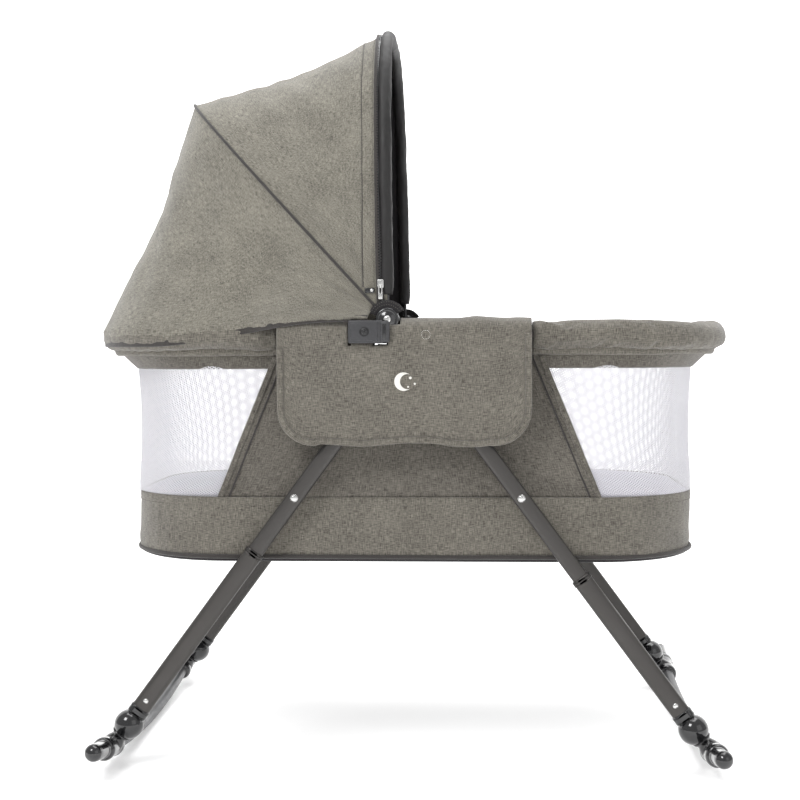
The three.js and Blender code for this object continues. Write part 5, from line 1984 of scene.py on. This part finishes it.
@dataclass
class Canopy:
    """The fold-back canopy: two cloth panels over three hoops, the zip, the sleeve and the hinges."""

    rig: Rig
    rim: PlanOutline
    mid: Hoop
    front: Hoop
    rear_outset: float = 22.4 * MM
    skirt_outset: float = 18.6 * MM
    flap_clearance: float = 17.0 * MM
    first_cloth: float = 26.0 * MM
    sag: float = 11.0 * MM
    zip_inset: float = 10.5 * MM
    zip_width: float = 13.0 * MM
    slider_height: float = 50.0 * MM
    lining_depth: float = 62.0 * MM
    sleeve_start: float = 34.0 * MM
    sleeve_radius: float = 9.0 * MM

    @property
    def hinge(self) -> Vector:
        """The hinges' axis in the middle plane."""
        return self.rig.sizes.hinge

    @property
    def heart(self) -> Vector:
        """A point in the middle of the canopy that its cloth faces away from."""
        return self.hinge + Vector((-0.15, 0, 0.03))

    def build(self) -> None:
        """Builds the cloth and everything on it, then the hinges and clamps."""
        self._wires()
        self._rear_panel()
        self._front_panel()
        self._sleeve()
        for side in Side:
            self._hinge_cover(side)
            self._clamp(side)

    def _wires(self) -> None:
        """Gives the bare spring wires their coating."""
        nodes = frame["nodes"]
        for name in ("mid_hoop", "front_hoop"):
            dress(nodes[name], self.rig.finish.wire)
            for polygon in nodes[name].data.polygons:
                polygon.use_smooth = True

    def _out(self, point: Vector) -> Vector:
        """The direction out of the canopy at a point."""
        return (point - self.heart).normalized()

    def _ripple(self, point: Vector, seed: float) -> float:
        """How far the cloth stands out at a point: soft folds, and pleats that run to the hinge."""
        span = math.hypot(point.x - self.hinge.x, point.z - self.hinge.z)
        turn = math.atan2(point.z - self.hinge.z, self.hinge.x - point.x)
        side = math.copysign(1.0, point.y)
        pleat = 4.5 * MM * math.exp(-span / 0.15) * noise.noise(Vector((turn * 9.0, seed, side)))
        pleat *= smoothstep(0.02, 0.07, span)
        soft = 4.2 * MM * crease(point, 10.0, seed)
        fine = 1.5 * MM * crease(Vector((point.x, point.y, point.z * 0.6)), 34.0, seed + 3)
        slant = 2.0 * MM * crease(Vector((point.x + point.z, point.y * 0.4, 0.0)), 30.0, seed + 5)
        return pleat + soft + fine + slant

    def _surface(
        self, first: list[Vector], last: list[Vector], steps: int, seed: float
    ) -> list[list[Vector]]:
        """A cloth between two edge lines, drawn in between them and gently creased."""
        rows = []
        for j, (a, b) in enumerate(zip(first, last)):
            share_along = j / (len(first) - 1)
            tight = smoothstep(0.0, 0.16, min(share_along, 1 - share_along))
            row = []
            for i in range(steps + 1):
                share = i / steps
                point = a.lerp(b, share)
                held = min(1.0, 7 * min(share, 1 - share))
                drawn = -self.sag * math.sin(math.pi * share) * tight
                row.append(point + self._out(point) * (drawn + self._ripple(point, seed) * held))
            rows.append(row)
        return rows

    def _panel(self, name: str, rows: list[list[Vector]], stands_for: str) -> Piece:
        """A cloth panel from its grid."""
        piece = skin(name, rows)
        LOG.info("%s has %.4f square metres of cloth", name, cloth_area(piece))
        thicken(piece, 1.4 * MM, 0.0)
        dress(piece, self.rig.finish.heather_pale)
        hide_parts(stands_for)
        return piece

    def _bend(self, piece: Piece, lower: str, upper: str, angle: float, reach: float) -> None:
        """Bakes a piece's placement into its mesh."""
        across = Vector((math.cos(math.radians(angle)), 0, math.sin(math.radians(angle)))) * reach
        self.hinge - across
        self.hinge + across
        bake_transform(piece)

    def _rear_panel(self) -> None:
        """The panel from the rim up to the middle hoop, with its dark binding and piping."""
        count, steps = 280, 76
        start_x = -self.hinge.x + self.first_cloth
        rear = self._rear_line(start_x, count, self.rear_outset, 0.6165, 16.5 * MM)
        hem = self._rear_line(start_x, count, self.skirt_outset, 0.6125, 33.0 * MM)
        upper = self.mid.line(self.hinge, self.first_cloth, count, 3.6 * MM)
        rows = self._surface(rear, upper, steps, 1.0)
        for row, low in zip(rows, hem):
            row[:0] = [low.lerp(row[0], i / 6) for i in range(6)]
        for j, row in enumerate(rows):
            for i, point in enumerate(row):
                low = math.exp(-(((point - row[0]).length) / 0.045) ** 2)
                gather = max(-0.6 * MM, 2.0 * MM * noise.noise(Vector((j * 0.36, 3.0, i * 0.02))))
                row[i] = point + self._out(point) * (gather * low * min(1.0, i / 3))
        piece = self._panel("canopy_rear_cloth", rows, "canopy_rear_panel")
        self._bend(piece, "head_rim", "mid_canopy", 66.25, 0.12)
        finish = self.rig.finish
        lower = [row[0] + Vector((0, 0, 3.2 * MM)) + self._level(row[0]) * 1.0 * MM for row in rows]
        binding = ribbon("canopy_lower_binding", lower, [self._level(p) for p in lower], 9.0 * MM, 1.7 * MM)
        self.rig.mount(binding, "head_rim", finish.piping, Slot.DARK_CLOTH)
        path = self.mid.line(self.hinge, self.first_cloth - 6 * MM, 260, 5.2 * MM)
        piping = sweep("mid_hoop_piping", path, circle(2.1 * MM, 10), up=Vector((1, 0, 0.7)))
        self.rig.mount(piping, "mid_canopy", finish.piping, Slot.DARK_CLOTH)
        wire_start, wire_outset = -self.hinge.x + 54 * MM, self.rear_outset - 4.5 * MM
        wire_path = []
        for point in self.rim.ends_at(End.HEAD, wire_start, 0.614, 200, wire_outset):
            low = 16.5 * MM * smoothstep(0.09, 0.36, -point.x)
            wire_path.append(point - Vector((0, 0, low)))
        wire = sweep("rear_hoop_wire", wire_path, circle(2.6 * MM, 12))
        self.rig.mount(wire, "head_rim", finish.wire, Slot.HOOP_WIRE, ["rear_hoop"])

    def _rear_line(
        self, start_x: float, count: int, outset: float, height: float, drop: float
    ) -> list[Vector]:
        """A line round the head end that starts high at the hinges and hangs lower at the head.

        Args:
            start_x: How far from the middle it starts.
            count: How many steps it has.
            outset: How far outside the rim's middle line it runs.
            height: Its height at the hinges.
            drop: How much lower it hangs at the head.

        Returns:
            The line's points from the left side to the right.
        """
        line = self.rim.ends_at(End.HEAD, start_x, height, count, outset)
        shaped = []
        for point in line:
            over_flap = self.flap_clearance * (1 - smoothstep(0.165, 0.225, -point.x))
            low = drop * smoothstep(0.09, 0.36, -point.x)
            shaped.append(point + self._level(point) * over_flap - Vector((0, 0, low)))
        return shaped

    def _level(self, point: Vector) -> Vector:
        """The level direction out of the rim at a point."""
        corner_x = -(self.rim.half_length - self.rim.corner)
        corner_y = self.rim.half_width - self.rim.corner
        way = Vector((min(0.0, point.x - corner_x), 0, 0))
        if abs(point.y) > corner_y:
            way.y = point.y - math.copysign(corner_y, point.y)
        return way.normalized() if way.length > 0 else Vector((-1, 0, 0))

    def _front_panel(self) -> None:
        """The panel from the middle hoop to the front one, with the zip along its front edge."""
        count, steps = 280, 64
        back = self.mid.line(self.hinge, self.first_cloth, count, 3.6 * MM)
        edge = self.front.line(self.hinge, self.first_cloth, count, 4.0 * MM)
        rows = self._surface(back, edge, steps, 8.0)
        piece = self._panel("canopy_front_cloth", rows, "canopy_front_panel")
        bend = ("mid_canopy", "front_canopy", 21.75, 0.10)
        self._bend(piece, *bend)
        finish = self.rig.finish
        trims = []
        tape_path, tape_normals = self._along_edge(rows, self.zip_inset, 1.6 * MM)
        tape = ribbon("zip_tape", tape_path, tape_normals, self.zip_width, 0.9 * MM)
        dress(tape, finish.piping)
        trims.append(tape)
        bm = bmesh.new()
        line = resample([p + n * 0.9 * MM for p, n in zip(tape_path, tape_normals)], 560)
        for i, point in enumerate(line[1:-1], 1):
            along = (line[i + 1] - line[i - 1]).normalized()
            normal = self._out(point)
            side = along.cross(normal).normalized() * (0.9 * MM if i % 2 else -0.9 * MM)
            self._tooth(bm, point + side, along * 0.85 * MM, side.normalized() * 1.6 * MM, normal * 0.9 * MM)
        teeth = new_object("zip_teeth", bm, smooth=False)
        dress(teeth, finish.gloss_black)
        trims.append(teeth)
        for number, inset in enumerate((self.zip_inset + 9.0 * MM, 37.0 * MM)):
            seam_path, _ = self._along_edge(rows, inset, 1.0 * MM)
            seam = stitching(f"canopy_stitches_{number}", [seam_path[6:-6]], self._out)
            dress(seam, finish.thread)
            trims.append(seam)
        # A thin charcoal strip paints the seam's dark line: painted shade of its groove together with its
        # darker thread.
        seam_line, seam_normals = self._along_edge(rows, 35.0 * MM, 0.6 * MM)
        seam_shade_strip = ribbon("canopy_seam", seam_line[8:-8], seam_normals[8:-8], 1.5 * MM, 0.5 * MM)
        dress(seam_shade_strip, finish.piping)
        trims.append(seam_shade_strip)
        depths = [self.lining_depth * i / 10 + 1 * MM for i in range(11)]
        lining_rows = [self._along_edge(rows, depth, -2.4 * MM)[0] for depth in depths]
        lining = skin("canopy_front_lining", lining_rows)
        thicken(lining, 0.8 * MM, 0.0)
        dress(lining, finish.black_cloth)
        trims.append(lining)
        for trim in trims:
            self._bend(trim, *bend)
        self._slider(rows, bend)

    def _along_edge(
        self, rows: list[list[Vector]], inset: float, lift: float
    ) -> tuple[list[Vector], list[Vector]]:
        """A line that keeps one distance behind the front edge.

        Args:
            rows: The panel's grid, each row running forward to the edge.
            inset: The distance behind the edge.
            lift: How far outside the cloth the line lies.

        Returns:
            The line's points and the cloth's outward direction at each.
        """
        path, normals = [], []
        for row in rows:
            left, place = inset, row[0]
            for a, b in zip(row[::-1], row[-2::-1]):
                step = (b - a).length
                if step >= left:
                    place = a.lerp(b, left / step)
                    break
                left -= step
            normal = self._out(place)
            path.append(place + normal * lift)
            normals.append(normal)
        return path, normals

    @staticmethod
    def _tooth(bm: BMesh, centre: Vector, along: Vector, across: Vector, up: Vector) -> None:
        """Adds one tooth of the zip as a small block with a narrower top."""
        corners, rings = [(-1, -1), (1, -1), (1, 1), (-1, 1)], []
        for lift, size in ((-0.4, 1.0), (0.6, 1.0), (1.0, 0.6)):
            spots = [centre + along * a * size + across * b * size + up * lift for a, b in corners]
            rings.append([bm.verts.new(spot) for spot in spots])
        for low, high in zip(rings, rings[1:]):
            for i in range(4):
                bm.faces.new((low[i], low[(i + 1) % 4], high[(i + 1) % 4], high[i]))
        bm.faces.new(rings[-1])
        bm.faces.new(rings[0][::-1])

    def _slider(self, rows: list[list[Vector]], bend: tuple) -> None:
        """The zip's metal slider and its pull, near the left hinge."""
        path, _ = self._along_edge(rows, self.zip_inset, 2.0 * MM)
        height = self.hinge.z + self.slider_height
        index = min(range(len(path) // 2), key=lambda i: abs(path[i].z - height))
        place = path[index]
        bm = bmesh.new()
        for low, high, radius in (
            ((-4.5, -3.2, -6), (4.5, 1.2, 6), 1.4),
            ((-2.0, -4.8, -3.5), (2.0, -2.8, 4.0), 0.8),
            ((-2.9, -5.8, -21), (2.9, -4.2, -13.0), 0.7),
            ((-2.9, -5.8, -16), (-1.2, -4.2, -1.0), 0.6),
            ((1.2, -5.8, -16), (2.9, -4.2, -1.0), 0.6),
        ):
            add_rounded_box(bm, place + Vector(low) * MM, place + Vector(high) * MM, radius * MM)
        piece = new_object("zip_slider", bm)
        dress(piece, self.rig.finish.steel)
        self._bend(piece, *bend)
        base = place + Vector((-15 * MM, -1.6 * MM, -9 * MM))
        bm = bmesh.new()
        tab_low, tab_high = Vector((-6, -2.2, -3.4)) * MM, Vector((7, 1.0, 3.4)) * MM
        add_rounded_box(bm, base + tab_low, base + tab_high, 1.0 * MM)
        tab = new_object("zip_stop_tab", bm)
        dress(tab, self.rig.finish.gloss_black)
        self._bend(tab, *bend)
        dome = [(2.4 * MM, 0), (2.2 * MM, 0.8 * MM), (0.8 * MM, 1.3 * MM)]
        seat = base + Vector((3.2, -2.2, 0)) * MM
        dot = lathe("zip_stop_snap", dome, seat, Vector((0, -1, 0)), 20)
        dress(dot, self.rig.finish.steel)
        self._bend(dot, *bend)

    def _sleeve(self) -> None:
        """The glossy black sleeve over the front hoop, a little loose and wrinkled."""
        steps, spokes = 420, 30
        path = self.front.line(self.hinge, self.sleeve_start, steps)

        def girth(share: float) -> float:
            """The sleeve's girth, gathered at both ends."""
            return 0.8 + 0.2 * smoothstep(0.0, 0.012, min(share, 1 - share))

        section = circle(self.sleeve_radius, spokes)
        piece = sweep("front_hoop_sleeve", path, section, up=Vector((1, 0, 0)), scale=girth)
        total = path_length(path)
        for number, vertex in enumerate(piece.data.vertices):
            ring, spoke = divmod(number, spokes)
            along = total * min(ring, steps) / steps
            turn = 2 * math.pi * spoke / spokes
            loop = Vector((math.cos(turn), math.sin(turn), 0))
            wave = 1.1 * MM * noise.noise(Vector((along * 26, loop.x * 1.1, loop.y * 1.1)))
            fine = 0.5 * MM * noise.noise(Vector((along * 95, loop.x * 2.2, loop.y * 2.2)))
            centre = path[min(ring, steps)]
            vertex.co += (vertex.co - centre).normalized() * (wave + fine)
        finish = self.rig.finish
        self.rig.mount(piece, "front_canopy", finish.gloss_cloth, Slot.DARK_CLOTH, ["hoop_sleeve"])
        back = Vector((-(self.sleeve_radius - 0.6 * MM), 0, 0))
        inner = self.front.line(self.hinge, self.sleeve_start + 4 * MM, steps, -3.0 * MM)
        stitches = stitching("sleeve_stitches", [[p + back for p in inner]], self._out, 5 * MM)
        self.rig.mount(stitches, "front_canopy", finish.black_cloth, Slot.DARK_CLOTH)

    def _hinge_cover(self, side: Side) -> None:
        """The round hinge cover with its rivet, and the stitched patch of cloth under it."""
        finish = self.rig.finish
        out = Vector((0, side.value, 0))
        plane = self.rig.sizes.flap_high.y - 10.5 * MM
        seat = Vector((self.hinge.x, side.value * plane, self.hinge.z))
        profile = [(4, -3), (15.5, -3), (16.2, -1), (16.2, 3), (15.2, 4.8), (12.4, 5.6)]
        profile += [(11.6, 4.9), (10.6, 4.9), (9.8, 5.8), (0, 6.6)]
        disk_profile = [(r * MM, a * MM) for r, a in profile]
        disk = lathe(f"hinge_cover_{side.label}", disk_profile, seat, out, 48)
        self.rig.mount(disk, "head_rim", finish.gloss_black, Slot.BLACK_PLASTIC)
        rivet_profile = [(5.2, 5.4), (5.4, 6.4), (4.9, 7.4), (3.6, 8.3), (1.9, 8.7), (0, 8.8)]
        rivet_dome = [(r * MM, a * MM) for r, a in rivet_profile]
        rivet = lathe(f"hinge_rivet_{side.label}", rivet_dome, seat, out, 32)
        self.rig.mount(rivet, "head_rim", finish.steel, Slot.STEEL, [f"canopy_pin_{side.label}"])
        inner, width = 9 * MM, 17 * MM
        rows = []
        for i in range(9):
            radius = inner + width * i / 8
            row = []
            for j in range(37):
                turn = math.radians(30 + 130 * j / 36)
                dome = 1.6 * MM * math.sin(math.pi * i / 8)
                dome += 0.5 * MM * noise.noise(Vector((turn * 5, i, side.value)))
                place = Vector((radius * math.cos(turn), side.value * dome, radius * math.sin(turn)))
                row.append(seat + place)
            rows.append(row)
        patch = skin(f"hinge_patch_{side.label}", rows)
        thicken(patch, 1.6 * MM, 0.0)
        self.rig.mount(patch, "mid_canopy", finish.black_cloth, Slot.DARK_CLOTH)
        arcs = []
        for radius in (20 * MM, 24 * MM):
            dome = side.value * (1.6 * MM * math.sin(math.pi * (radius - inner) / width) + 0.9 * MM)
            turns = [math.radians(34 + 120 * j / 32) for j in range(33)]
            arcs.append([seat + Vector((radius * math.cos(t), dome, radius * math.sin(t))) for t in turns])
        stitches = stitching(f"hinge_stitches_{side.label}", arcs, lambda point: out, 3.2 * MM)
        self.rig.mount(stitches, "mid_canopy", finish.thread, Slot.HEATHER_CLOTH)

    def _clamp(self, side: Side) -> None:
        """The moulded clamp that holds the canopy on the head rail, with its screw."""
        finish = self.rig.finish
        low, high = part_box(f"canopy_clamp_{side.label}")
        face = max(abs(low.y), abs(high.y))
        x0, x1, z0, z1 = low.x, self.hinge.x + 4 * MM, low.z, low.z + 31 * MM

        def block(a: tuple, b: tuple, radius: float) -> None:
            """Adds one rounded block, given as (x, distance from the middle, z) corners."""
            ys = sorted((side.value * a[1], side.value * b[1]))
            add_rounded_box(bm, Vector((a[0], ys[0], a[2])), Vector((b[0], ys[1], b[2])), radius)

        bm = bmesh.new()
        back, jaw_end = face - 6.6 * MM, self.hinge.x - 14 * MM
        ear = (self.hinge.x - 10 * MM, self.hinge.x + 10 * MM)
        block((x0, back, z0), (x1 - 9 * MM, face, z1), 2.2 * MM)
        block((x1 - 13 * MM, back, z0 + MM), (x1, face + 1.4 * MM, z1 - MM), 3.0 * MM)
        block((x0, 0.232, z1 - 8 * MM), (jaw_end, face - MM, z1), 2.0 * MM)
        block((x0, 0.2135, z0), (jaw_end, 0.237, z1), 3.0 * MM)
        block((ear[0], 0.2492, z1 - 4 * MM), (ear[1], 0.2535, z1 + 8 * MM), 1.5 * MM)
        step = 3.4 * MM
        block((x0 + step, face - 2 * MM, z0 + step), (x1 - 16 * MM, face + 0.9 * MM, z1 - step), 0.8 * MM)
        clamp = new_object(f"rim_clamp_{side.label}", bm)
        stands_for = [f"canopy_clamp_{side.label}"]
        self.rig.mount(clamp, "head_rim", finish.grey_plastic, Slot.GREY_PLASTIC, stands_for)
        # A glossy black block on the clamp's face paints the shade inside its slot.
        bm = bmesh.new()
        block((x1 - 9.6 * MM, face, z0 + 5 * MM), (x1 - 4.6 * MM, face + 1.8 * MM, z1 - 5 * MM), 0.6 * MM)
        slot = new_object(f"clamp_slot_{side.label}", bm)
        self.rig.mount(slot, "head_rim", finish.gloss_black, Slot.BLACK_PLASTIC)
        out = Vector((0, side.value, 0))
        middle = Vector(((x0 + x1 - 10 * MM) / 2 - 1 * MM, side.value * face, (z0 + z1) / 2))
        profile = [(6.6, 0.2), (6.6, 1.0), (5.9, 1.5), (5.5, 0.9), (5.3, 0.9), (5.0, 1.6)]
        profile += [(3.0, 2.1), (0, 2.2)]
        head = [(r * MM, a * MM) for r, a in profile]
        screw = lathe(f"clamp_screw_head_{side.label}", head, middle, out, 40)
        stands_for = [f"clamp_screw_{side.label}"]
        self.rig.mount(screw, "head_rim", finish.dark_plastic, Slot.GREY_PLASTIC, stands_for)
        bm = bmesh.new()
        for turn in (0.6, 0.6 + math.pi / 2):
            long = Vector((math.cos(turn), 0, math.sin(turn))) * 3.3 * MM
            short = Vector((-math.sin(turn), 0, math.cos(turn))) * 0.65 * MM
            self._tooth(bm, middle + out * 2.0 * MM, long, short, out * 0.45 * MM)
        cross = new_object(f"clamp_screw_cross_{side.label}", bm, smooth=False)
        self.rig.mount(cross, "head_rim", finish.gloss_black, Slot.BLACK_PLASTIC)


@dataclass(frozen=True)
class SoftLight:
    """One large area light."""

    name: str
    place: tuple[float, float, float]
    size: float
    power: float

    def build(self, target: Vector) -> None:
        """Adds the light and turns it to a point.

        Args:
            target: Where it shines.
        """
        data = bpy.data.lights.new(self.name, "AREA")
        data.shape, data.size, data.energy = "SQUARE", self.size, self.power
        lamp = bpy.data.objects.new(self.name, data)
        lamp.location = self.place
        lamp.rotation_euler = (target - Vector(self.place)).to_track_quat("-Z", "Y").to_euler()
        bpy.context.scene.collection.objects.link(lamp)


@dataclass
class Studio:
    """The pale floor, the soft light and the camera."""

    place: tuple[float, float, float] = (0.0954, -2.2070, 0.5812)
    turn: float = 3.070
    tilt: float = 2.217
    roll: float = 0.224
    lens: float = 65.25
    sky: float = 0.64
    floor_glow: float = 0.33
    backdrop_glow: float = 0.8
    lights: tuple[SoftLight, ...] = (
        SoftLight("key", (-1.5, -2.2, 2.9), 1.2, 58.0),
        SoftLight("fill", (2.2, -2.2, 1.4), 2.0, 9.0),
        SoftLight("top", (0.2, 0.4, 3.0), 2.2, 56.0),
    )

    def build(self) -> None:
        """Builds the studio."""
        self._floor()
        self._backdrop()
        self._world()
        for light in self.lights:
            light.build(Vector((0, 0, 0.55)))
        self._camera()

    def _floor(self) -> None:
        """A wide pale floor."""
        bm = bmesh.new()
        bmesh.ops.create_grid(bm, x_segments=1, y_segments=1, size=14.0)
        floor = new_object("studio_floor", bm, smooth=False)
        material, graph, shader = start_material("studio_white")
        soft = graph.noise(graph.add("TexCoord").outputs["Object"], 0.6, 2.0)
        tone = graph.blend(soft, rgba((0.93, 0.93, 0.93)), rgba((0.96, 0.96, 0.96)))
        graph.feed(shader, {"Base Color": tone, "Roughness": 0.9, "Specular IOR Level": 0.1})
        graph.feed(shader, {"Emission Color": rgba((1, 1, 1)), "Emission Strength": self.floor_glow})
        floor.data.materials.append(material)

    def _backdrop(self) -> None:
        """A lit white wall behind the bassinet."""
        bm = bmesh.new()
        corners = [(-14, 5, -0.01), (14, 5, -0.01), (14, 5, 12), (-14, 5, 12)]
        bm.faces.new([bm.verts.new(corner) for corner in corners])
        wall = new_object("studio_backdrop", bm, smooth=False)
        material, graph, shader = start_material("studio_backdrop_white")
        soft = graph.noise(graph.add("TexCoord").outputs["Object"], 0.4, 2.0)
        tone = graph.blend(soft, rgba((0.90, 0.90, 0.90)), rgba((0.94, 0.94, 0.94)))
        graph.feed(shader, {"Base Color": tone, "Roughness": 0.9})
        graph.feed(shader, {"Emission Color": rgba((1, 1, 1)), "Emission Strength": self.backdrop_glow})
        wall.data.materials.append(material)

    def _world(self) -> None:
        """An even pale surrounding."""
        world = bpy.data.worlds.new("studio_world")
        world.use_nodes = True
        background = world.node_tree.nodes["Background"]
        background.inputs["Color"].default_value = (1.0, 1.0, 1.0, 1.0)
        background.inputs["Strength"].default_value = self.sky
        bpy.context.scene.world = world

    def _camera(self) -> None:
        """The camera, which looks at one long side."""
        data = bpy.data.cameras.new("camera")
        data.lens, data.sensor_width = self.lens, 36.0
        camera = bpy.data.objects.new("camera", data)
        turn = Matrix.Rotation(math.radians(self.turn), 4, "Z")
        tilt = Matrix.Rotation(math.radians(90 - self.tilt), 4, "X")
        roll = Matrix.Rotation(math.radians(-self.roll), 4, "Z")
        camera.matrix_world = Matrix.Translation(Vector(self.place)) @ turn @ tilt @ roll
        bpy.context.scene.collection.objects.link(camera)
        bpy.context.scene.camera = camera
        bpy.context.scene.view_settings.view_transform = "Standard"


def main() -> None:
    """Builds the bassinet and the studio."""
    logging.basicConfig(level=logging.INFO, format="%(message)s")
    rig = Rig(FrameSizes.read(frame), Finishes())
    rim = PlanOutline(0.430, 0.226, 0.146)
    Stand(rig).build()
    Hubs(rig).build()
    Rim(rig, rim).build()
    Tub(rig, PlanOutline(0.406, 0.225, 0.150), PlanOutline(0.401, 0.227, 0.146)).build()
    for side in Side:
        Flap(rig, side).build()
    wire = 2.6 * MM
    mid = Hoop(0.430, 132.5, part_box("mid_hoop")[1].y - wire, 3.2)
    front = Hoop(0.419, 91.0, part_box("front_hoop")[1].y - wire, 3.0)
    Canopy(rig, rim, mid, front).build()
    Studio().build()


if __name__ == "__main__":
    main()
